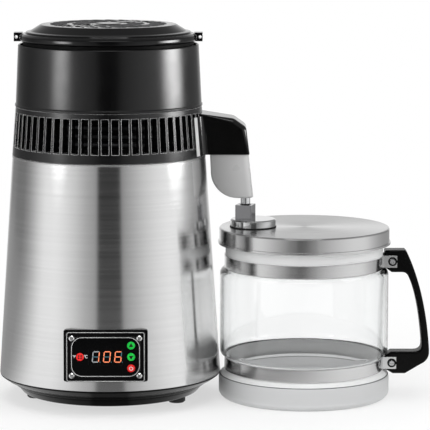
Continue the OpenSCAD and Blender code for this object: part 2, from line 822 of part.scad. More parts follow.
module louvre_ring() {
    pitch = 360 / fin_count;
    slot_w = 2 * PI * louvre_r(slot_z) / fin_count - fin_t;
    inner_r = louvre_top_r - fin_depth;
    blind_angle = asin(spout_w / 2 / louvre_top_r) + pitch / 2;
    outlet_w = spout_w - 2 * spout_t - 4;
    color("#17171a") at_boiler() difference() {
        rotate_extrude() polygon([
            [louvre_r(head_z) - skirt_t, head_z], [louvre_r(head_z), head_z],
            [louvre_top_r, louvre_top_z], [inner_r, louvre_top_z], [inner_r, plate_top],
            [louvre_r(plate_top) - skirt_t, plate_top]
        ]);
        for (i = [0:fin_count - 1]) let (a = i * pitch)
            if (abs(a > 180 ? a - 360 : a) > blind_angle)
                rotate(a) translate([inner_r - cut, -slot_w / 2, slot_z])
                    cube([louvre_bottom_r, slot_w, slot_h]);
        translate([0, -outlet_w / 2, slot_z]) cube([2 * louvre_bottom_r, outlet_w, slot_h / 2]);
    }
}

module head_shell() {
    inner_top_r = head_shell_top_r - head_shell_t;
    ledge_r = inner_top_r - ledge_w;
    color("#1c1c1e") at_boiler() rotate_extrude() polygon([
        [louvre_top_r - head_shell_t, louvre_top_z], [louvre_top_r + lip_t, louvre_top_z],
        [louvre_top_r + lip_t, louvre_top_z + lip_h - 1], [louvre_top_r, louvre_top_z + lip_h],
        [head_shell_top_r, head_top_z - 1], [head_shell_top_r - 1, head_top_z], [inner_top_r, head_top_z],
        [inner_top_r, bracket_z], [ledge_r, bracket_z], [ledge_r, bracket_z - ledge_h],
        [inner_top_r, bracket_z - 2 * ledge_h]
    ]);
}

// One row of slanted slots round the grille
module grille_row(r, count, length, slant) {
    for (i = [0:count - 1]) rotate(360 * i / count) translate([r, 0]) rotate(slant)
        slot_outline(length, grille_slot_w);
}

module top_cover() {
    hub_pad_r = 16;
    hub_pad_h = 0.8;
    row_gap = (grille_r - hub_pad_r) / 2;
    dome_steps = 6;
    hole_d = 3.2;
    dome = [for (i = [0:dome_steps]) let (a = 90 * i / dome_steps)
        [grille_r + (dome_r - grille_r) * sin(a), rim_top_z - 1 + (dome_h + 1) * cos(a)]];
    inner = [for (i = [dome_steps:-1:0]) let (a = 90 * i / dome_steps)
        [grille_r + (dome_r - cover_t - grille_r) * sin(a), rim_top_z - 1 + (dome_h + 1 - cover_t) * cos(a)]];
    color("#202023") at_boiler() difference() {
        union() {
            rotate_extrude() polygon(concat(
                [
                    [neck_r - cover_t, cover_seat_z], [neck_r, cover_seat_z], [neck_r, rim_z],
                    [cover_r - 0.6, rim_z], [cover_r, rim_z + 0.8], [cover_r, rim_z + cover_rim_h * 0.45],
                    [cover_r - 1.2, rim_top_z - 1.5], [cover_r - 3, rim_top_z], [dome_r + 1.5, rim_top_z]
                ],
                [for (i = [dome_steps:-1:0]) dome[i]],
                [[0, cover_top_z], [0, cover_top_z - cover_t]],
                [for (i = [dome_steps:-1:0]) inner[i]],
                [[neck_r - cover_t, rim_z + 2]]
            ));
            for (side = [-1, 1]) translate([side * (cover_r + lug_reach / 2 - 1), 0, rim_z + lug_h / 2])
                cube([lug_reach + 2, lug_w, lug_h], center = true);
            translate([0, 0, cover_top_z - cover_t / 2])
                cylinder(r1 = hub_pad_r - 2, r2 = hub_pad_r - 4, h = cover_t / 2 + hub_pad_h);
        }
        translate([0, 0, cover_top_z - 2 * cover_t]) linear_extrude(height = 3 * cover_t) {
            grille_row(hub_pad_r + row_gap / 2 + 1, 16, row_gap - 2, 42);
            grille_row(hub_pad_r + row_gap * 1.5, 26, row_gap - 2, 42);
        }
        for (side = [-1, 1]) translate([side * (cover_r + lug_reach / 2 + 0.5), 0, rim_z + lug_h / 2])
            rotate([90, 0, 0]) cylinder(d = hole_d, h = lug_w + 2 * cut, center = true);
    }
}

module fan_bracket() {
    color("#232326") at_boiler() translate([0, 0, bracket_z]) difference() {
        union() {
            ring(bracket_r, bracket_r - 8, bracket_t);
            for (a = [30, 150, 270]) rotate(a) translate([0, -arm_w / 2, bracket_t - arm_t])
                intersection() {
                    cube([bracket_r - ledge_w, arm_w, arm_t]);
                    cylinder(r = bracket_r - ledge_w - 2, h = arm_t);
                }
            translate([0, 0, bracket_t - arm_t]) cylinder(d = motor_d, h = arm_t);
        }
        translate([0, 0, -arm_t - cut]) cylinder(d = shaft_d + 4, h = 2 * arm_t + 2 * cut);
    }
}

module fan_motor() {
    top_z = bracket_z + bracket_t - arm_t;
    color("#6d6f72") at_boiler() translate([0, 0, top_z - motor_h]) difference() {
        union() {
            translate([0, 0, 3]) cylinder(d = motor_d, h = motor_h - 3);
            cylinder(d1 = motor_d - 8, d2 = motor_d, h = 3);
        }
        translate([0, 0, motor_h - bearing_depth]) cylinder(d = shaft_d + 2 * run_gap, h = bearing_depth + cut);
    }
}

// Hub with its blades and the shaft that runs in the motor
module fan_rotor() {
    tip_r = neck_r - cover_t - fan_gap;
    shaft_h = fan_z - (bracket_z + bracket_t - arm_t) + bearing_depth - 1;
    color("#2b2b2e") at_boiler() translate([0, 0, fan_z]) {
        cylinder(r = hub_r, h = fan_h - 2);
        translate([0, 0, fan_h - 2]) cylinder(r1 = hub_r, r2 = hub_r - 4, h = 2);
        translate([0, 0, -shaft_h]) cylinder(d = shaft_d, h = shaft_h);
        intersection() {
            for (i = [0:blade_count - 1]) rotate(360 * i / blade_count)
                translate([hub_r - 3, 0, fan_h / 2]) rotate([blade_tilt, 0, 0])
                    translate([0, -fan_h, -blade_t / 2]) cube([tip_r, 2 * fan_h, blade_t]);
            cylinder(r = tip_r, h = fan_h);
        }
    }
}

// Two-pin inlet for the fan's lead, at the back of the head
module fan_inlet() {
    face = [22, 14];
    depth = 12;
    wall = 1.5;
    mid_z = louvre_top_z + fan_inlet_rise;
    mid_r = louvre_top_r - (louvre_top_r - head_shell_top_r) * (fan_inlet_rise - face[1] / 2) / head_shell_h;
    fan_pin_gap = 8;
    color("#121213") at_boiler() translate([0, mid_r + rest_gap, mid_z]) rotate([-90, 0, 0]) {
        difference() {
            linear_extrude(height = depth / 2) rounded_rect(face[0], face[1], 3);
            translate([0, 0, wall]) linear_extrude(height = depth)
                rounded_rect(face[0] - 2 * wall, face[1] - 2 * wall, 2);
        }
        for (x = [-1, 1]) translate([x * fan_pin_gap / 2, 0, wall]) cylinder(d = 2.4, h = depth / 2 - wall - 0.5);
    }
}

// Side outline of the spout's housing, drawn in by an inset
module spout_side(inset) {
    top_z = spout_z + spout_root_h - inset;
    polygon([
        [0, spout_z], [spout_reach - inset, spout_z], [spout_nose_x - inset, top_z - spout_nose_drop],
        [spout_slope_x - inset * 0.5, top_z - spout_slope_drop], [louvre_top_r - 6, top_z], [0, top_z]
    ]);
}

// Plan of the housing or the nozzle, with round front corners
module spout_plan(reach, w, r) {
    translate([0, -w / 2]) square([reach - r, w]);
    translate([0, -w / 2 + r]) square([reach, w - 2 * r]);
    for (y = [-1, 1]) translate([reach - r, y * (w / 2 - r)]) circle(r = r);
}

module spout_housing() {
    color("#151517") at_boiler() difference() {
        intersection() {
            slab(spout_w + 2 * cut) spout_side(0);
            linear_extrude(height = spout_z + spout_root_h + cut) spout_plan(spout_reach + plan_past, spout_w, spout_corner_r);
        }
        intersection() {
            translate([0, 0, -cut]) slab(spout_w) spout_side(spout_t);
            linear_extrude(height = spout_z + spout_root_h)
                spout_plan(spout_reach + plan_past - spout_t, spout_w - 2 * spout_t, spout_corner_r - spout_t);
        }
        translate([0, 0, head_z]) cylinder(
            r1 = louvre_bottom_r + fit_gap, r2 = louvre_top_r + fit_gap, h = louvre_top_z - head_z);
    }
}

// Side outline of the nozzle: a rounded heel at the back and a toe that leans out
module nozzle_side() {
    round_c = [nozzle_back_x + nozzle_round_r, nozzle_z + nozzle_round_r];
    polygon(concat(
        [[spout_reach - 1, spout_z], [nozzle_back_x, spout_z]],
        arc(round_c, nozzle_round_r, 180, 265, 10),
        [[spout_reach + nozzle_toe - 2, nozzle_z], [spout_reach + nozzle_toe, nozzle_z + 3]]
    ));
}

module spout_nozzle() {
    drip_bore_d = drip_d + 2 * run_gap;
    color("#a9abad") at_boiler() difference() {
        intersection() {
            slab(nozzle_w + 2 * cut) nozzle_side();
            linear_extrude(height = spout_z + cut)
                spout_plan(spout_reach + nozzle_toe + plan_past, nozzle_w, spout_corner_r);
        }
        translate([filter_x, 0, spout_z - filter_h]) cylinder(d = filter_d + 2 * fit_gap, h = filter_h + cut);
        translate([drip_x, 0, nozzle_z - cut]) cylinder(d = drip_bore_d, h = drip_grip + cut);
        translate([drip_x, 0, nozzle_z]) cylinder(d = duct_d + 1, h = duct_z + duct_d - nozzle_z);
        translate([filter_x, 0, duct_z]) rotate([0, 90, 0]) cylinder(d = duct_d, h = drip_x - filter_x);
    }
}

// Open cup of charcoal
module filter_cup() {
    fill = 0.7;
    color("#2a2a2a") at_boiler() translate([filter_x, 0, spout_z - filter_h]) difference() {
        cylinder(d = filter_d, h = filter_h - 1);
        translate([0, 0, filter_h * fill]) cylinder(d = filter_d - 2 * filter_t, h = filter_h);
    }
}

module drip_tube() {
    length = nozzle_z + drip_grip - drip_end_z;
    color("#cdcfd1") at_boiler() translate([drip_x, 0, drip_end_z])
        ring(drip_d / 2, drip_d / 2 - drip_t, length);
}

// Jug

// Outer outline of the glass, from the middle of the floor up to the mouth, drawn in by an inset
function glass_outline(inset, floor_z) =
    let (foot_r = jug_foot_r - inset, waist_r = neck_outer_r - inset, wall_r = jug_r - inset)
    concat(
        [[0, floor_z]],
        arc([foot_r - foot_round, floor_z + foot_round], foot_round, -90, 0, 5),
        curve([foot_r, jug_foot_h - 9], [foot_r, jug_foot_h - 2], [waist_r, jug_foot_h], 5),
        [[waist_r, body_z]],
        curve([waist_r, body_z], [wall_r, body_z + 1], [wall_r, body_z + shoulder_h], 4),
        curve([wall_r, neck_z - shoulder_h], [wall_r, neck_z - 1], [waist_r, neck_z], 4)
    );

module glass_jug() {
    inner = glass_outline(glass_t, glass_floor_t);
    lip = 1.2;
    mouth_r = neck_outer_r - glass_t;
    color("#dfe9ea", 0.35) at_jug() rotate_extrude() polygon(concat(
        glass_outline(0, 0),
        [
            [neck_outer_r, jug_h - lip], [neck_outer_r - lip, jug_h], [mouth_r + lip, jug_h],
            [mouth_r, jug_h - lip]
        ],
        [for (i = [len(inner) - 1:-1:0]) inner[i]]
    ));
}

// Band round the glass, open at the handle, with a tab on each side of the handle's lug
module clamp_band() {
    tab_x = sqrt(pow(band_r, 2) - pow(handle_w / 2, 2));
    at_jug() difference() {
        union() {
            ring(band_r + band_t, band_r, band_h);
            for (side = [-1, 1]) translate([tab_x, side * (handle_w + band_t) / 2 - band_t / 2, 0])
                cube([band_r + tab_reach - tab_x, band_t, band_h]);
        }
        translate([0, -handle_w / 2, -cut]) cube([2 * band_r, handle_w, band_h + 2 * cut]);
        translate([handle_screw_x, 0, band_h / 2]) rotate([90, 0, 0])
            cylinder(d = handle_screw_d + 2 * run_gap, h = 2 * handle_w, center = true);
        translate([0, 0, -cut]) cylinder(r = band_r, h = band_h + 2 * cut);
    }
}

module upper_band() { color("#b5b7b9") translate([0, 0, upper_band_z]) clamp_band(); }

module lower_band() { color("#b5b7b9") translate([0, 0, lower_band_z]) clamp_band(); }

// Side outline of the D handle: two lugs and a bowed grip
module handle_side() {
    upper_z = handle_top_z - handle_lug_h;
    lower_z = handle_bottom_z + handle_lug_h;
    knee_z = lower_z + 2;
    bow = [handle_reach - 4, (handle_top_z + knee_z) / 2 + 8];
    chamfer = 5;
    polygon(concat(
        [[handle_root_x, handle_top_z - 1], [handle_root_x + 1, handle_top_z]],
        [[lug_top_x - 2, handle_top_z]],
        curve([lug_top_x, handle_top_z - 2], bow, [handle_reach, knee_z], 10),
        curve([handle_reach, lower_z - 3], [handle_reach, lower_z - 9], [handle_reach - 6, lower_z - 12], 4),
        [[lug_bottom_x, handle_bottom_z], [handle_clear_x + 2, handle_bottom_z]],
        [[handle_root_x, lower_band_z], [handle_root_x, lower_band_z + band_h]],
        [[handle_clear_x, lower_z], [handle_reach - grip_bottom_t - chamfer, lower_z]],
        [[handle_reach - grip_bottom_t, lower_z + chamfer]],
        curve(
            [handle_reach - grip_bottom_t, lower_z + chamfer + 6], bow - [grip_bottom_t, 4],
            [lug_top_x + chamfer - grip_top_t + 2, upper_z - chamfer], 10),
        [[lug_top_x - 3, upper_z], [handle_clear_x, upper_z], [handle_root_x, upper_band_z]]
    ));
}

module handle() {
    color("#141415") at_jug() difference() {
        slab(handle_w) handle_side();
        for (z = [upper_band_z, lower_band_z]) translate([handle_screw_x, 0, z + band_h / 2]) rotate([90, 0, 0])
            cylinder(d = handle_screw_d + 2 * run_gap, h = handle_w + 2 * cut, center = true);
    }
}

module handle_screws() {
    half = handle_w / 2 + band_t;
    color("#c9cacb") at_jug() for (z = [upper_band_z, lower_band_z])
        translate([handle_screw_x, 0, z + band_h / 2]) rotate([90, 0, 0]) {
            cylinder(d = handle_screw_d, h = 2 * half, center = true);
            for (side = [0, 180]) rotate([side, 0, 0]) translate([0, 0, half]) difference() {
                cylinder(d1 = handle_screw_head_d, d2 = handle_screw_head_d - 3, h = handle_screw_head_h);
                for (a = [0, 90]) rotate(a) translate([0, 0, handle_screw_head_h])
                    cube([handle_screw_head_d * 0.5, 0.9, 1.6], center = true);
            }
        }
}

// Lid

module jug_lid() {
    skirt_r = lid_d / 2;
    edge = 1.5;
    lip_z = lid_top_z - lid_h;
    color("#bcbec0") at_jug() difference() {
        rotate_extrude() polygon([
            [0, lid_top_z], [skirt_r - edge, lid_top_z], [skirt_r - edge * 0.3, lid_top_z - edge * 0.3],
            [skirt_r, lid_top_z - edge], [skirt_r, lip_z + lid_lip_h],
            [skirt_r + lid_lip_t, lip_z + lid_lip_h], [skirt_r + lid_lip_t, lip_z], [skirt_r - lid_t, lip_z],
            [skirt_r - lid_t, lid_top_z - edge], [skirt_r - lid_t - edge, lid_top_z - lid_t],
            [0, lid_top_z - lid_t]
        ]);
        translate([collar_x, 0, lid_top_z - 2 * lid_t]) cylinder(d = collar_bore_d, h = 3 * lid_t);
    }
}

module lid_seal() {
    color("#e4e4e1") at_jug() translate([0, 0, jug_h + rest_gap])
        ring(neck_outer_r + 1.5, neck_outer_r - glass_t - 1.5, lid_seal_t);
}

// Chrome disc on the lid, off centre from the collar's bore
module inlet_flange() {
    edge = 1.2;
    color("#dcdee0") at_jug() difference() {
        translate([collar_x + flange_shift, 0, lid_top_z]) {
            cylinder(d = flange_d, h = flange_t - edge);
            translate([0, 0, flange_t - edge]) cylinder(d1 = flange_d, d2 = flange_d - 2 * edge, h = edge);
        }
        translate([collar_x, 0, lid_top_z - cut]) cylinder(d = collar_bore_d, h = flange_t + 2 * cut);
    }
}

// Square collar under the drip tube
module inlet_collar() {
    color("#c2c4c6") at_jug() translate([collar_x, 0, flange_top_z]) difference() {
        rotate(collar_turn) linear_extrude(height = collar_h) rounded_rect(collar_w, collar_w, 1);
        translate([0, 0, -cut]) cylinder(d = collar_bore_d, h = collar_h + 2 * cut);
    }
}

base_pan();
feet();
outer_shell();
boiler_tank();
heater_plate();
heater_ring();
thermal_cutout();
mains_inlet();
panel_gasket();
panel_frame();
panel_window();
panel_screws();
display_module();
control_board();
tact_switches();
unit_button();
up_button();
down_button();
power_button();
head_plate();
tank_seal();
steam_elbow();
condenser_coil();
coil_clips();
air_drum();
louvre_ring();
head_shell();
top_cover();
fan_bracket();
fan_motor();
fan_rotor();
fan_inlet();
spout_housing();
spout_nozzle();
filter_cup();
drip_tube();
glass_jug();
upper_band();
lower_band();
handle();
handle_screws();
jug_lid();
lid_seal();
inlet_flange();
inlet_collar();
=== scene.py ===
"""Countertop water distiller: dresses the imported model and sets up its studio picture.

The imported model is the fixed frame. Sizes are in millimetres in the classes below and become metres
when a mesh is made. +Z is up, the control panel faces -Y, and the jug stands towards +X.
"""

from __future__ import annotations

import logging
import math
from dataclasses import dataclass
from enum import Enum

import bpy
import numpy as np
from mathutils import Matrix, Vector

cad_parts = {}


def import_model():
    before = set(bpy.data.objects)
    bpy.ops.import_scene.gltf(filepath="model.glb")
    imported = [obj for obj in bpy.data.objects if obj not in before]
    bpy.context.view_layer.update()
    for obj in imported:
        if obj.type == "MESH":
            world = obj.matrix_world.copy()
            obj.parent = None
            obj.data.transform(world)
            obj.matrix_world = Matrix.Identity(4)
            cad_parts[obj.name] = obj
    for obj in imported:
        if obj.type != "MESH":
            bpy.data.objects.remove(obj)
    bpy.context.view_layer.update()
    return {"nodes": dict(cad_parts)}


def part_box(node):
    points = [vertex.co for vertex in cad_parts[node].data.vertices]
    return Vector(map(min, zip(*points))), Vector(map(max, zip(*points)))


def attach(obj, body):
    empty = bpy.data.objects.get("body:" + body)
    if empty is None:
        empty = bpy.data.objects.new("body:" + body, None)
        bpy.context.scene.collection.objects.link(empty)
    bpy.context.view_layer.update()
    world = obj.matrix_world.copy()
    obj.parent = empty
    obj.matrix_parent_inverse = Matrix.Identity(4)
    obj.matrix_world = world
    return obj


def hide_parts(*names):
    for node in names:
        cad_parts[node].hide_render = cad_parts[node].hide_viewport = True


LOG = logging.getLogger("distiller")
MM = 0.001
Array = np.ndarray
Shell = tuple[Array, list[list[int]]]
Colour = tuple[float, float, float]
Socket = bpy.types.NodeSocket

# Share of a leg that a rounded corner may take, and how far past its arc the lead points lie
LEG_SHARE = 0.46
LEAD_SHARE = 0.08
LEAD_MOST = 0.25
# Share of a slab's edge radius from its rounding to the rows that keep its flats flat
EDGE_LEAD = 0.12
# Decimals of a millimetre to which points of a shell coincide
WELD_DIGITS = 4


# Surfaces

def unit(vectors: Array) -> Array:
    """Vectors along the last axis, each divided by its length."""
    return vectors / np.maximum(np.linalg.norm(vectors, axis=-1, keepdims=True), 1e-12)


def curve(start: tuple, towards: tuple, end: tuple, steps: int = 12) -> Array:
    """Points of a quadratic curve: (1-t)^2 of the start, 2t(1-t) of the handle and t^2 of the end.

    Args:
        start: First point.
        towards: Handle that the curve is drawn towards.
        end: Last point.
        steps: Number of spans.

    Returns:
        Points, one a row.
    """
    t = np.linspace(0.0, 1.0, steps + 1)[:, None]
    a, b, c = np.array(start, float), np.array(towards, float), np.array(end, float)
    return (1 - t) ** 2 * a + 2 * t * (1 - t) * b + t ** 2 * c


def arc(centre: tuple, radius: float, start: float, end: float, steps: int = 16) -> Array:
    """Points of a circle's arc: the centre plus the radius times the cosine and sine of the angle.

    Args:
        centre: Centre of the circle.
        radius: Its radius.
        start: First angle in degrees.
        end: Last angle in degrees.
        steps: Number of spans.

    Returns:
        Points, one a row.
    """
    angle = np.radians(np.linspace(start, end, steps + 1))
    return np.stack([centre[0] + radius * np.cos(angle), centre[1] + radius * np.sin(angle)], axis=1)


def circle(centre: tuple, radius: float, count: int) -> Array:
    """Points of a whole circle, in even steps."""
    return arc(centre, radius, 0, 360, count)[:-1]


def mirrored(plan: Array) -> Array:
    """Plan mirrored in the X axis, turned round so that it stays anticlockwise."""
    return (plan * np.array([1.0, -1.0]))[::-1]


def rounded(corners: list[tuple[float, float, float]], closed: bool, steps: int = 5) -> Array:
    """Line through corners, each replaced by an arc that touches both of its legs.

    The arc starts r / tan(half the corner's angle) from the corner, and its centre lies on the bisector.
    A point just outside each end of an arc keeps the flats flat under smooth shading.

    Args:
        corners: For each corner its two coordinates and its radius.
        closed: Whether the last corner joins the first.
        steps: Spans in each arc.

    Returns:
        Points of the line, one a row.
    """
    data = np.array(corners, float)
    points, radii = data[:, :2], data[:, 2]
    line: list[Array] = []
    for i in range(len(points)):
        if radii[i] <= 0 or (not closed and i in (0, len(points) - 1)):
            line.append(points[i][None])
            continue
        here, back, on = points[i], points[i - 1], points[(i + 1) % len(points)]
        u, v = unit(back - here), unit(on - here)
        half = 0.5 * math.acos(float(np.clip(u @ v, -1, 1)))
        room = LEG_SHARE * min(np.linalg.norm(back - here), np.linalg.norm(on - here))
        reach = min(radii[i] / math.tan(half), room)
        radius = reach * math.tan(half)
        centre = here + unit(u + v) * radius / math.sin(half)
        first = here + u * reach - centre
        e1 = unit(first)
        last = here + v * reach - centre
        e2 = unit(last - (last @ e1) * e1)
        turn = np.linspace(0.0, math.pi - 2 * half, steps + 1)[:, None]
        rim = centre + radius * (np.cos(turn) * e1 + np.sin(turn) * e2)
        lead = min(LEAD_SHARE * reach, LEAD_MOST)
        line += [(here + u * (reach + lead))[None], rim, (here + v * (reach + lead))[None]]
    return np.concatenate(line)


def grid_faces(rows: int, columns: int, close_rows: bool, close_columns: bool) -> list[list[int]]:
    """Quads between neighbouring points of a grid that is numbered row by row.

    Args:
        rows: Rows of points.
        columns: Points in a row.
        close_rows: Whether the last row joins the first.
        close_columns: Whether a row's last point joins its first.

    Returns:
        Corner numbers of each quad.
    """
    r, c = np.meshgrid(np.arange(rows if close_rows else rows - 1),
                       np.arange(columns if close_columns else columns - 1), indexing="ij")
    r1, c1 = (r + 1) % rows, (c + 1) % columns
    quads = np.stack([r * columns + c, r * columns + c1, r1 * columns + c1, r1 * columns + c], axis=-1)
    return quads.reshape(-1, 4).tolist()


def capped_faces(rows: int, columns: int) -> list[list[int]]:
    """Quads of a grid whose rows are rings, with a flat cap over its first row and over its last.

    Args:
        rows: Rows of points.
        columns: Points in a row.

    Returns:
        Corner numbers of each face.
    """
    last = (rows - 1) * columns
    caps = [list(range(columns - 1, -1, -1)), list(range(last, last + columns))]
    return grid_faces(rows, columns, False, True) + caps


def face_middles(mesh: bpy.types.Mesh) -> Array:
    """Middles of a mesh's faces, in millimetres.

    Args:
        mesh: The mesh.

    Returns:
        A place for each face.
    """
    middles = np.empty(3 * len(mesh.polygons), np.float32)
    mesh.polygons.foreach_get("center", middles)
    return middles.reshape(-1, 3) / MM


def make_piece(name: str, points: Array, faces: list[list[int]], sharp: float = 32.0) -> bpy.types.Object:
    """Puts points in millimetres and their faces into a new object, shaded smooth.

    Args:
        name: Name of the piece.
        points: Places in millimetres, in the shared frame.
        faces: Corner numbers of the faces.
        sharp: Angle in degrees from which an edge stays crisp.

    Returns:
        The new object, linked to the scene.
    """
    mesh = bpy.data.meshes.new(name)
    mesh.from_pydata((points.reshape(-1, 3) * MM).tolist(), [], faces)
    mesh.polygons.foreach_set("use_smooth", np.ones(len(mesh.polygons), bool))
    mesh.set_sharp_from_angle(angle=math.radians(sharp))
    mesh.update()
    piece = bpy.data.objects.new(name, mesh)
    bpy.context.scene.collection.objects.link(piece)
    return piece


def turned(profile: Array, axis_x: float, closed: bool, segments: int = 224) -> Shell:
    """Profile of radius and height turned about an upright axis: (r cos a, r sin a, z).

    Args:
        profile: Radius and height of each profile point.
        axis_x: Place of the axis along X.
        closed: Whether the profile's last point joins its first.
        segments: Steps round the axis.

    Returns:
        Points and faces. An open profile gets a flat cap at both ends.
    """
    angle = np.linspace(0.0, 2 * math.pi, segments, endpoint=False)
    rows = len(profile)
    r, z = profile[:, 0:1], np.broadcast_to(profile[:, 1:2], (rows, segments))
    points = np.stack([axis_x + r * np.cos(angle), r * np.sin(angle), z], axis=-1)
    faces = grid_faces(rows, segments, True, True) if closed else capped_faces(rows, segments)
    return points.reshape(-1, 3), faces


def lathe(name: str, profile: Array, axis_x: float, closed: bool, segments: int = 224,
          sharp: float = 32.0) -> bpy.types.Object:
    """Piece made of one turned profile, crisp from the given angle on."""
    return make_piece(name, *turned(profile, axis_x, closed, segments), sharp)


def outline_normals(outline: Array) -> Array:
    """Outward unit normals of a closed outline: the mean of a point's two tangents, turned right.

    Args:
        outline: Points of the outline, anticlockwise.

    Returns:
        A normal for each point.
    """
    ahead = unit(np.roll(outline, -1, axis=0) - outline)
    behind = unit(outline - np.roll(outline, 1, axis=0))
    along = unit(ahead + behind)
    return np.stack([along[:, 1], -along[:, 0]], axis=1)


def rounded_slab(outline: Array, half: float, edge: Array, steps: int = 5) -> Shell:
    """Closed outline carried across its plane, with a rounded edge along both rims.

    Towards a rim each point moves in along its normal by e(1 - cos a) while the height rises by e sin a,
    where e is that point's own edge radius and a runs from 0 to 90 degrees.

    Args:
        outline: Points of the outline, anticlockwise.
        half: Half of the slab's width.
        edge: Edge radius at each point of the outline.
        steps: Spans in the rounded edge.

    Returns:
        Points as (u, v, height) and the faces between them.
    """
    normal = outline_normals(outline)
    turn = np.radians(np.linspace(0.0, 90.0, steps + 1))
    inset = np.concatenate([[0.0], 1 - np.cos(turn), [1 + EDGE_LEAD]])[:, None, None]
    rise = np.concatenate([[-EDGE_LEAD], np.sin(turn), [1.0]])[:, None]
    flat = outline[None] - inset * edge[None, :, None] * normal[None]
    height = half - edge[None] + rise * edge[None]
    top = np.concatenate([flat, height[..., None]], axis=-1)
    bottom = (top * np.array([1.0, 1.0, -1.0]))[::-1]
    points = np.concatenate([bottom, top])
    return points, capped_faces(*points.shape[:2])


def upright(points: Array) -> Array:
    """Points drawn in an outline's plane, stood up in XZ with their height across Y."""
    return np.stack([points[..., 0], -points[..., 2], points[..., 1]], axis=-1)


def tube(path: Array, radius: Array | float, sides: int = 20) -> Shell:
    """Round section carried along a path: p + r(cos a times the side way + sin a times the upper way).

    Args:
        path: Points that the tube's middle follows.
        radius: Radius of the tube, one for all or one for each point.
        sides: Points in a section.

    Returns:
        Points of the tube, closed at both ends, and its faces.
    """
    way = unit(np.gradient(path, axis=0))
    side = unit(np.cross(way, np.array([0.0, 0.0, 1.0])))
    up = np.cross(way, side)
    angle = np.linspace(0.0, 2 * math.pi, sides, endpoint=False)[None, :, None]
    reach = np.broadcast_to(radius, (len(path),))[:, None, None]
    points = path[:, None] + reach * (np.cos(angle) * side[:, None] + np.sin(angle) * up[:, None])
    return points.reshape(-1, 3), capped_faces(len(path), sides)


def gather(parts: list[Shell]) -> Shell:
    """Several closed shells as one set, with points that coincide in a shell made one.

    Args:
        parts: Points and faces of each shell.

    Returns:
        All points and faces. A face that loses its width is left out.
    """
    points: list[Array] = []
    faces: list[list[int]] = []
    start = 0
    for own_points, own_faces in parts:
        kept, place = np.unique(np.round(own_points, WELD_DIGITS), axis=0, return_inverse=True)
        place = place.reshape(-1) + start
        for face in own_faces:
            corners = place[face]
            corners = corners[corners != np.roll(corners, 1)].tolist()
            if len(corners) > 2:
                faces.append(corners)
        points.append(kept)
        start += len(kept)
    return np.concatenate(points), faces


def plates(outlines: list[Array], low: float, high: float) -> Shell:
    """Flat outlines, each carried from one height to another.

    Args:
        outlines: Points of each outline, anticlockwise.
        low: Height of the underside.
        high: Height of the face.

    Returns:
        Points as (u, v, height) and the faces between them.
    """
    points: list[Array] = []
    faces: list[list[int]] = []
    base = 0
    for outline in outlines:
        n = len(outline)
        rims = [np.column_stack([outline, np.full(n, h)]) for h in (low, high)]
        points.append(np.concatenate(rims))
        faces += [[base + i for i in face] for face in capped_faces(2, n)]
        base += 2 * n
    return np.concatenate(points), faces


def bead(outline: Array, height: float, radius: float, sides: int = 12) -> Shell:
    """Round line that follows a closed outline: the point plus r cos a along its normal and r sin a upwards.

    Args:
        outline: Points of the outline, anticlockwise.
        height: Height of the line's middle.
        radius: Its radius.
        sides: Points round the line.

    Returns:
        Points as (u, v, height) and the faces between them.
    """
    angle = np.linspace(0.0, 2 * math.pi, sides, endpoint=False)[:, None]
    normal = outline_normals(outline)
    flat = outline[None] + radius * np.cos(angle)[..., None] * normal[None]
    rise = np.broadcast_to(height + radius * np.sin(angle), flat.shape[:2])
    return np.concatenate([flat, rise[..., None]], axis=-1), grid_faces(sides, len(outline), True, True)


def stroke(line: Array, width: float) -> Array:
    """Outline of a pen stroke: the line moved half a width to each side along its normals.

    Args:
        line: Points that the pen's middle follows.
        width: Width of the stroke.

    Returns:
        Points of the outline, anticlockwise.
    """
    way = unit(np.gradient(line, axis=0))
    out = np.stack([way[:, 1], -way[:, 0]], axis=1) * width / 2
    return np.concatenate([line + out, (line - out)[::-1]])


# Finishes

class Nodes:
    """A node tree while it is put together."""

    def __init__(self, tree: bpy.types.NodeTree) -> None:
        """Takes a tree and empties it."""
        self.tree = tree
        self.tree.nodes.clear()

    def add(self, kind: str, values: dict | None = None, **settings: object) -> bpy.types.Node:
        """Adds a node.

        Args:
            kind: Node type without its common prefix.
            values: Input sockets by name or number, each with a value or with a socket to link.
            settings: Properties of the node.

        Returns:
            The new node.
        """
        node = self.tree.nodes.new("ShaderNode" + kind)
        for key, value in settings.items():
            setattr(node, key, value)
        for key, value in (values or {}).items():
            if isinstance(value, Socket):
                self.tree.links.new(value, node.inputs[key])
            else:
                node.inputs[key].default_value = value
        return node

    def maths(self, operation: str, first: Socket | float, second: Socket | float) -> Socket:
        """Result of one sum on two values."""
        return self.add("Math", {0: first, 1: second}, operation=operation).outputs[0]

    def between(self, share: Socket, first: Socket | tuple, second: Socket | tuple) -> Socket:
        """Colour between two colours, by their share."""
        return self.add("Mix", {0: share, 6: first, 7: second}, data_type="RGBA").outputs[2]

    def spread(self, value: Socket, low: float, high: float,
               span: tuple[float, float] = (0.3, 0.7)) -> Socket:
        """Value stretched from a span, that of most noise unless it is given, to the wanted one."""
        return self.add("MapRange", {"Value": value, "From Min": span[0], "From Max": span[1],
                                     "To Min": low, "To Max": high}).outputs["Result"]

    def around(self, value: Socket, middle: float, share: float) -> Socket:
        """Noise stretched to a middle and a share of it to both sides."""
        return self.spread(value, middle * (1 - share), middle * (1 + share))


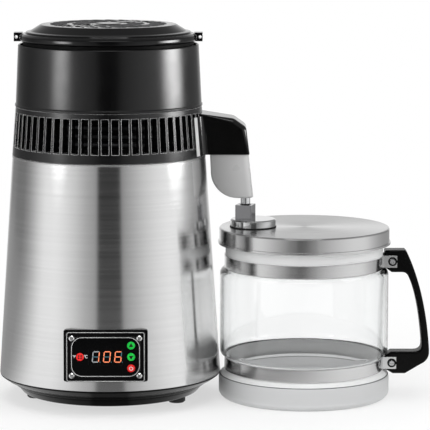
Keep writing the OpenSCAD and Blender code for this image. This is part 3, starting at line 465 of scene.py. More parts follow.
class Shader(Nodes):
    """A material's nodes while they are put together."""

    def __init__(self, name: str) -> None:
        """Starts a material of that name, with its output alone.

        Args:
            name: Name of the material.
        """
        self.material = bpy.data.materials.new(name)
        self.material.use_nodes = True
        super().__init__(self.material.node_tree)
        self.output = self.add("OutputMaterial")

    def close(self, shader: bpy.types.Node) -> bpy.types.Material:
        """Links the last shader to the output and gives the material back."""
        self.tree.links.new(shader.outputs[0], self.output.inputs["Surface"])
        return self.material

    def place(self) -> Socket:
        """Place on the piece in metres, which moves with it."""
        return self.add("TexCoord").outputs["Object"]

    def noise(self, place: Socket, scale: float, detail: float = 3.0) -> Socket:
        """Noise of a given number of features to the metre."""
        return self.add("TexNoise", {"Vector": place, "Scale": scale, "Detail": detail}).outputs["Fac"]

    def tint(self, value: Socket, dark: Colour, light: Colour) -> Socket:
        """Colour between two tones."""
        return self.between(value, (*dark, 1.0), (*light, 1.0))

    def bump(self, height: Socket, strength: float, depth: float, normal: Socket | None = None) -> Socket:
        """Normal of a fine relief.

        Args:
            height: Height of the relief.
            strength: Share of it that shows.
            depth: Its depth in metres.
            normal: Normal that it lies on, or the piece's own.

        Returns:
            The new normal.
        """
        values = {"Height": height, "Strength": strength, "Distance": depth}
        if normal is not None:
            values["Normal"] = normal
        return self.add("Bump", values).outputs[0]

    def edge(self, radius: float) -> tuple[Socket, Socket]:
        """Softened normal along edges, and how far it departs from the flat one.

        Args:
            radius: Reach of the softened edge in metres.

        Returns:
            The normal, and a mask that is 0 on flats and rises to 1 on edges.
        """
        bevel = self.add("Bevel", {"Radius": radius}, samples=4).outputs["Normal"]
        flat = self.add("NewGeometry").outputs["Normal"]
        dot = self.add("VectorMath", {0: bevel, 1: flat}, operation="DOT_PRODUCT").outputs["Value"]
        return bevel, self.spread(dot, 1.0, 0.0, (0.75, 0.98))


class Brush(Enum):
    """How the lines of a brushed metal run."""

    LEVEL = "round the body, level"
    SPUN = "in rings about an upright axis"


def scaled(colour: Colour, factor: float, lift: float = 0.0) -> Colour:
    """Colour made lighter or darker, and lifted by a grey."""
    return tuple(min(1.0, c * factor + lift) for c in colour)


@dataclass(frozen=True)
class MouldedPlastic:
    """Moulded plastic or paint: fine grain, uneven gloss and edges drawn lighter, as mild wear at the default
    tone and as a painted highlight where the tone is strong.
    """

    name: str
    colour: Colour
    roughness: float
    grain: float = 0.02
    grain_scale: float = 1400.0
    level: float = 0.5
    coat: float = 0.0
    edge_radius: float = 0.0006
    edge_wear_and_highlight: float = 0.35
    wear_and_highlight_tone: float = 0.015
    # Span along X of painted shading that grows lighter, when one is given
    painted_shading_span: tuple[float, float] | None = None
    grain_depth: float = 0.0004
    cloud_scale: float = 38.0
    cloud_tones: tuple[float, float] = (0.82, 1.2)
    cloud_gloss: tuple[float, float] = (0.88, 1.14)
    painted_shading_tones: tuple[float, float] = (0.76, 1.3)
    wear_and_highlight_gain: float = 1.6
    coat_roughness: float = 0.06

    def body(self, s: Shader, place: Socket, cloud: Socket) -> Socket:
        """Colour away from the edges: clouded, or with painted shading that grows lighter from one place
        along X to the other.

        Args:
            s: Tree to build in.
            place: Place on the piece.
            cloud: Slow noise.

        Returns:
            The colour.
        """
        if self.painted_shading_span is None:
            share, tones = s.spread(cloud, 0.0, 1.0), self.cloud_tones
        else:
            along = s.add("SeparateXYZ", {0: place}).outputs[0]
            share = s.spread(along, 0.0, 1.0, (self.painted_shading_span[0] * MM, self.painted_shading_span[1] * MM))
            tones = self.painted_shading_tones
        return s.tint(share, scaled(self.colour, tones[0]), scaled(self.colour, tones[1]))

    def material(self) -> bpy.types.Material:
        """Builds the finish.

        Returns:
            The material.
        """
        s = Shader(self.name)
        place = s.place()
        cloud = s.noise(place, self.cloud_scale, 4.0)
        normal, worn_and_lit_edges = s.edge(self.edge_radius)
        # Edges drawn lighter: mild wear at the default tone, a painted highlight where the tone is strong
        rubbed_and_lit_colour = (*scaled(self.colour, self.wear_and_highlight_gain, self.wear_and_highlight_tone), 1.0)
        colour = s.between(s.maths("MULTIPLY", worn_and_lit_edges, self.edge_wear_and_highlight), self.body(s, place, cloud), rubbed_and_lit_colour)
        grain = s.noise(place, self.grain_scale, 2.0)
        bright, dull = self.cloud_gloss
        gloss = s.spread(cloud, self.roughness * bright, min(1.0, self.roughness * dull))
        return s.close(s.add("BsdfPrincipled", {
            "Base Color": colour, "Roughness": gloss,
            "Normal": s.bump(grain, self.grain, self.grain_depth, normal),
            "Specular IOR Level": self.level, "Coat Weight": self.coat,
            "Coat Roughness": self.coat_roughness}))


@dataclass(frozen=True)
class BrushedMetal:
    """Brushed metal: streaks along the brushing and a highlight drawn out across it."""

    name: str
    colour: Colour
    roughness: float
    brush: Brush
    anisotropy: float = 0.7
    axis_x: float = 0.0
    streak: float = 420.0
    relief: float = 0.05
    contrast: float = 0.07
    along: float = 4.0
    line_depth: float = 0.0002
    line_gloss: float = 0.15
    cloud_scale: float = 14.0
    cloud_gloss: float = 0.015
    edge_radius: float = 0.0004
    quarter_turn: float = 0.25

    def lines(self, s: Shader) -> Socket:
        """Place stretched along the brushing, so that noise on it runs in lines.

        Args:
            s: Tree to build in.

        Returns:
            The stretched place.
        """
        place = s.place()
        if self.brush is Brush.LEVEL:
            scale = (self.along, self.along, self.streak)
            return s.add("Mapping", {"Vector": place, "Scale": scale}).outputs[0]
        moved = s.add("VectorMath", {0: place, 1: (-self.axis_x * MM, 0.0, 0.0)}, operation="ADD").outputs[0]
        split = s.add("SeparateXYZ", {"Vector": moved})
        flat = s.add("CombineXYZ", {"X": split.outputs[0], "Y": split.outputs[1]})
        radius = s.add("VectorMath", {0: flat.outputs[0]}, operation="LENGTH").outputs["Value"]
        out = s.maths("MULTIPLY", radius, self.streak)
        return s.add("CombineXYZ", {"X": out, "Z": split.outputs[2]}).outputs[0]

    def material(self) -> bpy.types.Material:
        """Builds the finish.

        Returns:
            The material.
        """
        s = Shader(self.name)
        lines = s.noise(self.lines(s), 1.0, 4.0)
        cloud = s.noise(s.place(), self.cloud_scale)
        normal, _worn = s.edge(self.edge_radius)
        colour = s.tint(s.spread(lines, 0.0, 1.0), scaled(self.colour, 1 - self.contrast),
                        scaled(self.colour, 1 + self.contrast))
        streaked = s.around(lines, self.roughness, self.line_gloss)
        rough = s.maths("ADD", streaked, s.spread(cloud, -self.cloud_gloss, self.cloud_gloss))
        tangent = s.add("Tangent", direction_type="RADIAL", axis="Z")
        return s.close(s.add("BsdfPrincipled", {
            "Base Color": colour, "Metallic": 1.0, "Roughness": rough,
            "Normal": s.bump(lines, self.relief, self.line_depth, normal),
            "Anisotropic": self.anisotropy, "Anisotropic Rotation": self.quarter_turn,
            "Tangent": tangent.outputs[0]}))


@dataclass(frozen=True)
class PolishedMetal:
    """Plated metal with faint smudges in its shine."""

    name: str
    colour: Colour
    roughness: float
    edge_radius: float = 0.0004
    smudge_scale: float = 70.0
    smudge_tone: float = 0.94
    smudge_gloss: tuple[float, float] = (0.7, 1.5)

    def material(self) -> bpy.types.Material:
        """Builds the finish.

        Returns:
            The material.
        """
        s = Shader(self.name)
        smudge = s.noise(s.place(), self.smudge_scale, 5.0)
        normal, _worn = s.edge(self.edge_radius)
        colour = s.tint(s.spread(smudge, 0.0, 1.0), scaled(self.colour, self.smudge_tone), self.colour)
        clean, smudged = self.smudge_gloss
        return s.close(s.add("BsdfPrincipled", {
            "Base Color": colour, "Metallic": 1.0, "Normal": normal,
            "Roughness": s.spread(smudge, self.roughness * clean, self.roughness * smudged)}))


@dataclass(frozen=True)
class ClearGlass:
    """Clear glass, a little darker where it is looked at along the wall."""

    name: str
    colour: Colour
    rim: Colour
    roughness: float = 0.012
    ior: float = 1.47
    rim_blend: float = 0.28
    wave_scale: float = 22.0
    wave_relief: float = 0.02
    wave_depth: float = 0.002
    wave_gloss: float = 0.5

    def material(self) -> bpy.types.Material:
        """Builds the finish.

        Returns:
            The material.
        """
        s = Shader(self.name)
        wave = s.noise(s.place(), self.wave_scale, 2.0)
        facing = s.add("LayerWeight", {"Blend": self.rim_blend}).outputs["Facing"]
        gloss = s.around(wave, self.roughness, self.wave_gloss)
        return s.close(s.add("BsdfPrincipled", {
            "Base Color": s.tint(facing, self.colour, self.rim), "Transmission Weight": 1.0,
            "Roughness": gloss, "IOR": self.ior, "Normal": s.bump(wave, self.wave_relief, self.wave_depth)}))


@dataclass(frozen=True)
class PaintedWhiteGlass:
    """Glass coloured white, a painted reflection of its white surroundings that looks lit from within, with
    painted shade where it is looked at along the wall.
    """

    name: str
    colour: Colour
    rim: Colour
    clear: float = 0.25
    roughness: float = 0.38
    ior: float = 1.47
    rim_blend: float = 0.16
    cloud_scale: float = 30.0
    cloud_tone: float = 0.985
    cloud_gloss: float = 0.1
    frost_scale: float = 1800.0
    frost_relief: float = 0.03
    frost_depth: float = 0.0003

    def material(self) -> bpy.types.Material:
        """Builds the finish.

        Returns:
            The material.
        """
        s = Shader(self.name)
        place = s.place()
        cloud = s.noise(place, self.cloud_scale)
        facing = s.add("LayerWeight", {"Blend": self.rim_blend}).outputs["Facing"]
        body = s.tint(s.spread(cloud, 0.0, 1.0), scaled(self.colour, self.cloud_tone), self.colour)
        frost = s.noise(place, self.frost_scale, 2.0)
        gloss = s.around(cloud, self.roughness, self.cloud_gloss)
        return s.close(s.add("BsdfPrincipled", {
            "Base Color": s.between(facing, body, (*self.rim, 1.0)), "Transmission Weight": self.clear,
            "IOR": self.ior, "Roughness": gloss,
            "Normal": s.bump(frost, self.frost_relief, self.frost_depth)}))


@dataclass(frozen=True)
class SoftRubber:
    """Rubber or silicone: dull, with a dusty unevenness."""

    name: str
    colour: Colour
    roughness: float
    inner: float = 0.0
    inner_scale: float = 0.002
    dust_scale: float = 120.0
    dust_tone: float = 0.15
    dust_gloss: float = 0.9
    grain_scale: float = 2200.0
    grain_relief: float = 0.06
    grain_depth: float = 0.0003

    def material(self) -> bpy.types.Material:
        """Builds the finish.

        Returns:
            The material.
        """
        s = Shader(self.name)
        place = s.place()
        dust = s.noise(place, self.dust_scale, 5.0)
        colour = s.tint(s.spread(dust, 0.0, 1.0), scaled(self.colour, 1 - self.dust_tone),
                        scaled(self.colour, 1 + self.dust_tone))
        grain = s.noise(place, self.grain_scale, 2.0)
        gloss = s.spread(dust, self.roughness * self.dust_gloss, self.roughness)
        return s.close(s.add("BsdfPrincipled", {
            "Base Color": colour, "Roughness": gloss,
            "Normal": s.bump(grain, self.grain_relief, self.grain_depth),
            "Subsurface Weight": self.inner, "Subsurface Scale": self.inner_scale}))


@dataclass(frozen=True)
class LitInk:
    """Printed or lit mark: a colour that glows a little, as the lit digits really do and as painted glow on
    the print and the unlit bars.
    """

    name: str
    colour: Colour
    lit_and_painted_glow: float = 0.0
    roughness: float = 0.45
    speck_scale: float = 900.0
    speck_tone: float = 0.9

    def material(self) -> bpy.types.Material:
        """Builds the finish.

        Returns:
            The material.
        """
        s = Shader(self.name)
        speck = s.noise(s.place(), self.speck_scale, 2.0)
        colour = s.tint(s.spread(speck, 0.0, 1.0), scaled(self.colour, self.speck_tone), self.colour)
        return s.close(s.add("BsdfPrincipled", {
            "Base Color": colour, "Roughness": self.roughness, "Emission Color": (*self.colour, 1.0),
            "Emission Strength": self.lit_and_painted_glow}))


def dress(piece: bpy.types.Object, material: bpy.types.Material) -> None:
    """Gives a piece or a carried-over node one material all over."""
    piece.data.materials.clear()
    piece.data.materials.append(material)


def fit(piece: bpy.types.Object, body: str, slot: str, material: bpy.types.Material, *nodes: str) -> None:
    """Dresses a new piece, seats it on its body and hides the nodes it stands for.

    Args:
        piece: The new piece.
        body: Body that it moves with.
        slot: Slot for its finish; not used.
        material: Its finish.
        nodes: Nodes that it replaces.
    """
    dress(piece, material)
    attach(piece, body)
    if nodes:
        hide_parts(*nodes)
    LOG.info("piece %s on %s", piece.name, body)


# Upright axes of the boiler and of the jug
BOILER_X = -108.5
JUG_X = 93.0

# Slot edges drawn light by the edge tone: painted highlight
COVER_BLACK = MouldedPlastic("cover_black", (0.002, 0.002, 0.0022), 0.13, grain=0.006, level=0.3,
                             edge_radius=0.0007, edge_wear_and_highlight=0.9, wear_and_highlight_tone=0.4)
NECK_BLACK = MouldedPlastic("neck_black", (0.002, 0.002, 0.002), 0.6, grain=0.02, level=0.12)
# Ribs a lighter black than the cover: painted highlight along the grille's ribs
RIB_HIGHLIGHT_BLACK = MouldedPlastic("rib_highlight_black", (0.05, 0.05, 0.052), 0.2, grain=0.006, level=0.7)
# Fin edges drawn light by the edge tone: painted highlight
LOUVRE_BLACK = MouldedPlastic("louvre_black", (0.004, 0.004, 0.0044), 0.24, grain=0.01, level=0.5,
                              edge_radius=0.0011, edge_wear_and_highlight=1.0, wear_and_highlight_tone=0.9)
HEAD_PAINT = MouldedPlastic("head_paint", (0.0016, 0.0016, 0.0018), 0.22, grain=0.008, level=0.5)
BASE_BLACK = MouldedPlastic("base_black", (0.0016, 0.0016, 0.0016), 0.24, grain=0.015, level=0.14)
GLOSS_BLACK = MouldedPlastic("gloss_black", (0.003, 0.003, 0.003), 0.12, grain=0.006, level=0.5)
# Plate and bezel edges drawn lighter by the edge tone: painted highlight
PANEL_BLACK = MouldedPlastic("panel_black", (0.002, 0.002, 0.0022), 0.2, grain=0.01, level=0.2,
                             edge_radius=0.0005, edge_wear_and_highlight=0.6, wear_and_highlight_tone=0.2)
# Pale grey of the lips beside the spout: painted highlight
LIP_HIGHLIGHT_GREY = MouldedPlastic("lip_highlight_grey", (0.62, 0.62, 0.62), 0.35, grain=0.02)
# Pale grey of the lines round the panel's plate and window: painted highlight
HIGHLIGHT_TRIM_GREY = MouldedPlastic("trim_grey", (0.6, 0.6, 0.6), 0.3, grain=0.01)
WINDOW_BLACK = MouldedPlastic("window_black", (0.0012, 0.0012, 0.0014), 0.09, grain=0.003, level=0.2)
HANDLE_BLACK = MouldedPlastic("handle_black", (0.0014, 0.0014, 0.0014), 0.26, grain=0.02, level=0.1)
SOCKET_BLACK = MouldedPlastic("socket_black", (0.014, 0.014, 0.014), 0.5, grain=0.05)
FAN_BLACK = MouldedPlastic("fan_black", (0.006, 0.006, 0.0065), 0.45, grain=0.03, level=0.3)
# Painted shading: the nozzle's grey grows lighter along X towards its front
NOZZLE_GREY = MouldedPlastic("nozzle_grey", (0.45, 0.45, 0.45), 0.3, grain=0.01, level=0.5, coat=0.15,
                             painted_shading_span=(0.0, 36.0))
BUTTON_RED = MouldedPlastic("button_red", (0.9, 0.018, 0.016), 0.3, grain=0.01)
BUTTON_GREEN = MouldedPlastic("button_green", (0.004, 0.62, 0.06), 0.3, grain=0.01)
BOARD_GREEN = MouldedPlastic("board_green", (0.02, 0.13, 0.05), 0.4, grain=0.02)
CERAMIC = MouldedPlastic("ceramic", (0.78, 0.76, 0.70), 0.45, grain=0.04)
SWITCH_BLACK = MouldedPlastic("switch_black", (0.03, 0.03, 0.03), 0.45)
SHELL_STEEL = BrushedMetal("shell_steel", (0.74, 0.74, 0.74), 0.17, Brush.LEVEL, 0.75, relief=0.012,
                           contrast=0.03)
TANK_STEEL = BrushedMetal("tank_steel", (0.70, 0.70, 0.70), 0.3, Brush.LEVEL, 0.5)
LID_STEEL = BrushedMetal("lid_steel", (0.61, 0.61, 0.61), 0.2, Brush.SPUN, 0.85, JUG_X, relief=0.012,
                         contrast=0.04)
BAND_STEEL = BrushedMetal("band_steel", (0.63, 0.63, 0.63), 0.2, Brush.LEVEL, 0.7, relief=0.012,
                          contrast=0.03)
# Steel darkened almost to black: painted shade inside the head behind the louvres
COIL_STEEL_SHADED = PolishedMetal("coil_steel", (0.055, 0.055, 0.058), 0.42)
TUBE_STEEL = PolishedMetal("tube_steel", (0.72, 0.73, 0.74), 0.16)
DARK_CHROME = PolishedMetal("dark_chrome", (0.34, 0.34, 0.35), 0.09)
HANDLE_SCREW = PolishedMetal("handle_screw", (0.5, 0.5, 0.51), 0.08)
CHROME = PolishedMetal("chrome", (0.76, 0.765, 0.77), 0.03, 0.0012)
SCREW_STEEL = PolishedMetal("screw_steel", (0.82, 0.82, 0.82), 0.14)
CAST_METAL = PolishedMetal("cast_metal", (0.45, 0.45, 0.46), 0.42)
ELEMENT_STEEL = PolishedMetal("element_steel", (0.25, 0.24, 0.23), 0.38)
MOTOR_STEEL = PolishedMetal("motor_steel", (0.1, 0.1, 0.104), 0.55)
GLASS = ClearGlass("jug_glass", (0.995, 0.998, 0.998), (0.86, 0.88, 0.88))
FLOOR_GLASS = ClearGlass("floor_glass", (0.998, 0.999, 0.999), (0.97, 0.975, 0.975))
# Neck and foot of the jug coloured white: painted reflection of the white surroundings in the glass
NECK_PAINTED_WHITE = PaintedWhiteGlass("neck_painted_white", (0.93, 0.935, 0.935), (0.80, 0.81, 0.81), 0.04)
FOOT_PAINTED_WHITE = PaintedWhiteGlass("foot_painted_white", (0.72, 0.725, 0.73), (0.42, 0.43, 0.43), 0.12)
# Dark line at the foot's upper edge: painted shade in the crease
FOOT_SHADE_LINE = PaintedWhiteGlass("foot_shade_line", (0.16, 0.165, 0.165), (0.1, 0.1, 0.1), 0.2)
SILICONE = SoftRubber("silicone", (0.72, 0.72, 0.70), 0.5, 0.2)
FOOT_RUBBER = SoftRubber("foot_rubber", (0.012, 0.012, 0.012), 0.7)
CHARCOAL = SoftRubber("charcoal", (0.02, 0.02, 0.02), 0.95)
DIGIT_LIT = LitInk("digit_lit", (0.93, 0.25, 0.11), 0.45)
# Unlit bars glow a little: painted glow
DIGIT_PALE = LitInk("digit_pale", (0.40, 0.42, 0.43), 0.05)
DIGIT_TEAL = LitInk("digit_teal", (0.05, 0.15, 0.19), 0.05)
# White print glows a little: painted glow
WHITE_INK = LitInk("white_ink", (0.75, 0.75, 0.75), 0.05)
DARK_INK = LitInk("dark_ink", (0.006, 0.006, 0.006))

NODE_FINISH = {
    "base_pan": BASE_BLACK, "feet": FOOT_RUBBER, "outer_shell": SHELL_STEEL, "boiler_tank": TANK_STEEL,
    "heater_plate": CAST_METAL, "heater_ring": ELEMENT_STEEL, "thermal_cutout": CERAMIC,
    "mains_inlet": SOCKET_BLACK, "panel_gasket": PANEL_BLACK, "panel_frame": PANEL_BLACK,
    "panel_window": WINDOW_BLACK, "panel_screws": SCREW_STEEL, "display_module": WINDOW_BLACK,
    "control_board": BOARD_GREEN, "tact_switches": SWITCH_BLACK, "unit_button": BUTTON_RED,
    "up_button": BUTTON_GREEN, "down_button": BUTTON_GREEN, "power_button": BUTTON_RED,
    "head_plate": TANK_STEEL, "tank_seal": SILICONE, "steam_elbow": TUBE_STEEL,
    # air_drum is a black drum inside the coil that darkens the view through the louvres: painted shade
    "condenser_coil": COIL_STEEL_SHADED, "coil_clips": COIL_STEEL_SHADED, "air_drum": FAN_BLACK,
    "louvre_ring": LOUVRE_BLACK, "head_shell": HEAD_PAINT, "top_cover": COVER_BLACK, "fan_bracket": FAN_BLACK,
    "fan_motor": MOTOR_STEEL, "fan_rotor": FAN_BLACK, "fan_inlet": SOCKET_BLACK,
    "spout_housing": GLOSS_BLACK, "spout_nozzle": NOZZLE_GREY, "filter_cup": CHARCOAL,
    "drip_tube": TUBE_STEEL, "glass_jug": GLASS, "upper_band": BAND_STEEL, "lower_band": BAND_STEEL,
    "handle": HANDLE_BLACK, "handle_screws": HANDLE_SCREW, "jug_lid": LID_STEEL, "lid_seal": SILICONE,
    "inlet_flange": CHROME, "inlet_collar": DARK_CHROME,
}


class FinishBook:
    """Materials made so far, one for each finish."""

    def __init__(self) -> None:
        """Starts with no material."""
        self.made: dict[object, bpy.types.Material] = {}

    def of(self, finish: object) -> bpy.types.Material:
        """Material of a finish, made the first time it is asked for.

        Args:
            finish: One of the finishes above.

        Returns:
            Its material.
        """
        if finish not in self.made:
            self.made[finish] = finish.material()
        return self.made[finish]

    def dress_nodes(self, nodes: dict[str, bpy.types.Object]) -> None:
        """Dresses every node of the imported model."""
        for name, finish in NODE_FINISH.items():
            dress(nodes[name], self.of(finish))


# Sub-assemblies

@dataclass
class Base:
    """Moulded base under the steel body, turned from one smooth profile."""

    foot_h: float = 7.0
    floor_r: float = 92.0
    bead_r: float = 100.0
    bead_z: float = 16.6
    top_r: float = 114.2
    top_z: float = 27.0
    spigot_r: float = 112.99
    spigot_h: float = 6.0
    wall: float = 3.0
    middle_r: float = 20.0

    def build(self, book: FinishBook) -> None:
        """Makes the base and seats it in place of its node.

        Args:
            book: Materials.
        """
        spigot_z, inner_r = self.top_z + self.spigot_h, self.spigot_r - self.wall
        corners = [
            (self.middle_r, self.foot_h, 0), (self.floor_r - 1, self.foot_h, 3.0),
            (self.floor_r + 4.0, self.foot_h + 6.2, 4.0), (self.bead_r - 3.0, self.bead_z - 1.4, 1.0),
            (self.bead_r, self.bead_z - 0.6, 0.8), (self.bead_r + 1.2, self.bead_z + 1.4, 1.2),
            (self.bead_r + 8.0, self.bead_z + 4.4, 4.0), (self.top_r, self.top_z - 1.6, 1.4),
            (self.top_r, self.top_z, 0.1), (self.spigot_r, self.top_z, 0.1),
            (self.spigot_r, spigot_z, 0.4), (inner_r, spigot_z, 0.4),
            (inner_r, self.top_z - 1, 1.0), (self.bead_r, self.bead_z + self.wall, 1.0),
            (self.floor_r - self.wall, self.foot_h + self.wall, 1.0),
            (self.middle_r, self.foot_h + self.wall, 0),
        ]
        piece = lathe("base_moulding", rounded(corners, False), BOILER_X, False)
        fit(piece, "boiler", "base_plastic", book.of(BASE_BLACK), "base_pan")


@dataclass
class ControlPanel:
    """Marks on the control panel, drawn in its own tilted plane: u across, v up, height outwards."""

    shell_r: float = 112.128
    centre_z: float = 62.5
    tilt: float = 3.8226
    seat: float = 0.3
    display_front: float = 2.45
    window_front: float = 2.6
    plate_front: float = 3.0
    bezel_front: float = 3.45
    cap_top: float = 3.8
    ink_t: float = 0.05
    # Half width, half height and corner radius of the light lines, pale beads that paint the highlights along
    # the plate's and the window's edges
    plate_highlight: tuple[float, float, float] = (38.6, 24.4, 2.0)
    window_highlight: tuple[float, float, float] = (33.9, 19.4, 10.5)
    highlight_line_r: float = 0.3
    # Place of each digit from the middle one, and its lit bars
    shown: tuple[tuple[int, str], ...] = ((-1, "bc"), (0, "abcdef"), (1, "acdefg"))
    digit_w: float = 7.4
    digit_h: float = 11.5
    digit_pitch: float = 11.1
    digit_shift: float = 1.4
    bar_t: float = 1.0
    bar_inset: float = 0.6
    bar_gap: float = 0.22
    slant: float = 0.1
    dot_r: float = 0.5
    letter_f: tuple[float, float] = (-30.5, 0.3)
    letter_f_size: float = 3.0
    letter_c: tuple[float, float] = (-18.9, 0.3)
    letter_c_size: float = 3.3
    # Shares of a letter's size
    letter_half: float = 0.42
    letter_pen: float = 0.17
    degree_rise: float = 0.32
    degree_r: float = 0.13
    degree_pen: float = 0.12
    degree_back_f: float = 0.58
    degree_back_c: float = 0.62
    # Shares of half the F's height, from its middle to its stem and to the ends of its bars
    stem_back: float = 0.6
    top_bar: float = 0.7
    middle_bar: float = 0.45
    bowl_arc: tuple[float, float] = (50.0, 310.0)
    button_x: float = 25.5
    button_pitch: float = 11.4
    arrow_r: float = 2.6
    arrow_round: float = 0.35
    power_r: float = 1.75
    power_arc: tuple[float, float] = (130.0, 410.0)
    power_bar: tuple[float, float] = (0.4, 2.3)
    power_pen: float = 0.6
    unit_dot_r: float = 0.85
    unit_dot_x: float = 1.25
    unit_dot_y: float = 1.1

    def stand(self, points: Array) -> Array:
        """Panel points in the shared frame: turned about X and set on the shell.

        Args:
            points: Points as (u, v, height).

        Returns:
            Their places.
        """
        a = math.radians(90.0 - self.tilt)
        u, v, h = points[..., 0], points[..., 1], points[..., 2] + self.seat
        return np.stack([BOILER_X + u, -self.shell_r + v * math.cos(a) - h * math.sin(a),
                         self.centre_z + v * math.sin(a) + h * math.cos(a)], axis=-1)

    def mark(self, name: str, outlines: list[Array], height: float, finish: LitInk, body: str, slot: str,
             book: FinishBook) -> None:
        """Makes one mark from its outlines and seats it on its face.

        Args:
            name: Name of the piece.
            outlines: Outlines in the panel's plane.
            height: Height of the face that carries it.
            finish: Its ink.
            body: Body that carries it.
            slot: Its slot, passed on to fit.
            book: Materials.
        """
        points, faces = plates(outlines, height - self.ink_t, height + self.ink_t)
        fit(make_piece(name, self.stand(points), faces), body, slot, book.of(finish))

    def spot(self, centre: tuple[float, float], radius: float) -> Array:
        """Outline of a small round mark."""
        return arc(centre, radius, 0, 345, 11)

    def highlight_lines(self, book: FinishBook) -> None:
        """Makes the light lines round the plate and round the window, as painted highlights along their
        edges.

        Args:
            book: Materials.
        """
        lines = []
        for (x, y, r), height in ((self.plate_highlight, self.plate_front), (self.window_highlight, self.bezel_front)):
            corners = [(-x, -y, r), (x, -y, r), (x, y, r), (-x, y, r)]
            points, faces = bead(rounded(corners, True, 8), height, self.highlight_line_r)
            lines.append((self.stand(points).reshape(-1, 3), faces))
        fit(make_piece("panel_highlight_lines", *gather(lines)), "boiler", "panel_plastic", book.of(HIGHLIGHT_TRIM_GREY))

    def bar(self, start: tuple, end: tuple) -> Array:
        """Six-cornered bar of a digit, pointed at both ends.

        Args:
            start: One point.
            end: The other point.

        Returns:
            Outline of the bar.
        """
        a, b = np.array(start), np.array(end)
        way = unit(b - a)
        out = np.array([way[1], -way[0]]) * self.bar_t / 2
        tip = way * self.bar_t / 2
        return np.array([a, a + tip + out, b - tip + out, b, b - tip - out, a + tip - out])

    def digit(self, number: int) -> dict[str, Array]:
        """Seven bars of a digit, slanted, by their usual letters.

        Args:
            number: Place of the digit, -1 to 1 from left to right.

        Returns:
            Outline of each bar.
        """
        w, h, gap = self.digit_w / 2 - self.bar_inset, self.digit_h / 2 - self.bar_inset, self.bar_gap
        ends = {
            "a": ((-w + gap, h), (w - gap, h)), "b": ((w, h - gap), (w, gap)),
            "c": ((w, -gap), (w, -h + gap)), "d": ((-w + gap, -h), (w - gap, -h)),
            "e": ((-w, -gap), (-w, -h + gap)), "f": ((-w, h - gap), (-w, gap)),
            "g": ((-w + gap, 0.0), (w - gap, 0.0)),
        }
        shift = np.array([self.digit_shift + number * self.digit_pitch, 0.0])
        lean = np.array([[1.0, 0.0], [self.slant, 1.0]])
        return {k: self.bar(*e) @ lean + shift for k, e in ends.items()}

    def display(self, book: FinishBook) -> None:
        """Makes the lit bars, the unlit ones and the points beside the digits.

        Args:
            book: Materials.
        """
        bars: dict[LitInk, list[Array]] = {DIGIT_LIT: [], DIGIT_PALE: [], DIGIT_TEAL: []}
        for number, lit in self.shown:
            for key, outline in self.digit(number).items():
                dim = DIGIT_PALE if number == -1 and key != "g" else DIGIT_TEAL
                bars[DIGIT_LIT if key in lit else dim].append(outline)
            middle = self.digit_shift + number * self.digit_pitch
            dot = (middle + self.digit_w / 2 + self.dot_r, -self.digit_h / 2 + self.dot_r)
            bars[DIGIT_TEAL].append(self.spot(dot, self.dot_r))
        for ink, outlines in bars.items():
            name = ink.name.replace("digit", "digits")
            self.mark(name, outlines, self.display_front, ink, "boiler", "window_plastic", book)

    def degree(self, at: tuple[float, float], size: float, back: float) -> Array:
        """Ring of a degree sign before a letter, a share of the letter's size back."""
        middle = (at[0] - size * back, at[1] + size * self.degree_rise)
        return stroke(arc(middle, size * self.degree_r, 0, 360), size * self.degree_pen)

    def letters(self, book: FinishBook) -> None:
        """Makes the F and the C beside the left button, each after its degree sign.

        Args:
            book: Materials.
        """
        (x, y), size = self.letter_f, self.letter_f_size
        half, pen = size * self.letter_half, size * self.letter_pen
        left, top = x - half * self.stem_back, y + half - pen / 2
        ends = (((left, y - half), (left, y + half)), ((left, top), (x + half * self.top_bar, top)),
                ((left, y), (x + half * self.middle_bar, y)))
        outlines = [self.degree(self.letter_f, size, self.degree_back_f)]
        outlines += [stroke(np.array(e), pen) for e in ends]
        size = self.letter_c_size
        bowl = arc(self.letter_c, size * self.letter_half, *self.bowl_arc)
        outlines += [self.degree(self.letter_c, size, self.degree_back_c),
                     stroke(bowl, size * self.letter_pen)]
        self.mark("unit_letters", outlines, self.window_front, WHITE_INK, "boiler", "window_plastic", book)

    def caps(self, book: FinishBook) -> None:
        """Makes the arrows, the power symbol and the four dots on the buttons' caps.

        Args:
            book: Materials.
        """
        for body, y, way in (("up_button", self.button_pitch, 90.0), ("down_button", 0.0, -90.0)):
            tips = arc((self.button_x, y), self.arrow_r, way, way + 240, 2)
            corners = [(*tip, self.arrow_round) for tip in tips]
            self.mark(body.replace("button", "arrow"), [rounded(corners, True)], self.cap_top, DARK_INK, body,
                      "button_green", book)
        x, y = self.button_x, -self.button_pitch
        bow = stroke(arc((x, y), self.power_r, *self.power_arc), self.power_pen)
        bar = stroke(np.array([[x, y + rise] for rise in self.power_bar]), self.power_pen)
        self.mark("power_mark", [bow, bar], self.cap_top, WHITE_INK, "power_button", "button_red", book)
        dots = [self.spot((-self.button_x + dx, dy), self.unit_dot_r)
                for dx in (-self.unit_dot_x, self.unit_dot_x) for dy in (-self.unit_dot_y, self.unit_dot_y)]
        self.mark("unit_mark", dots, self.cap_top, DARK_INK, "unit_button", "button_red", book)

    def build(self, book: FinishBook) -> None:
        """Makes the painted highlight lines, the digits, the letters and the marks on the caps.

        Args:
            book: Materials.
        """
        self.highlight_lines(book)
        self.display(book)
        self.letters(book)
        self.caps(book)


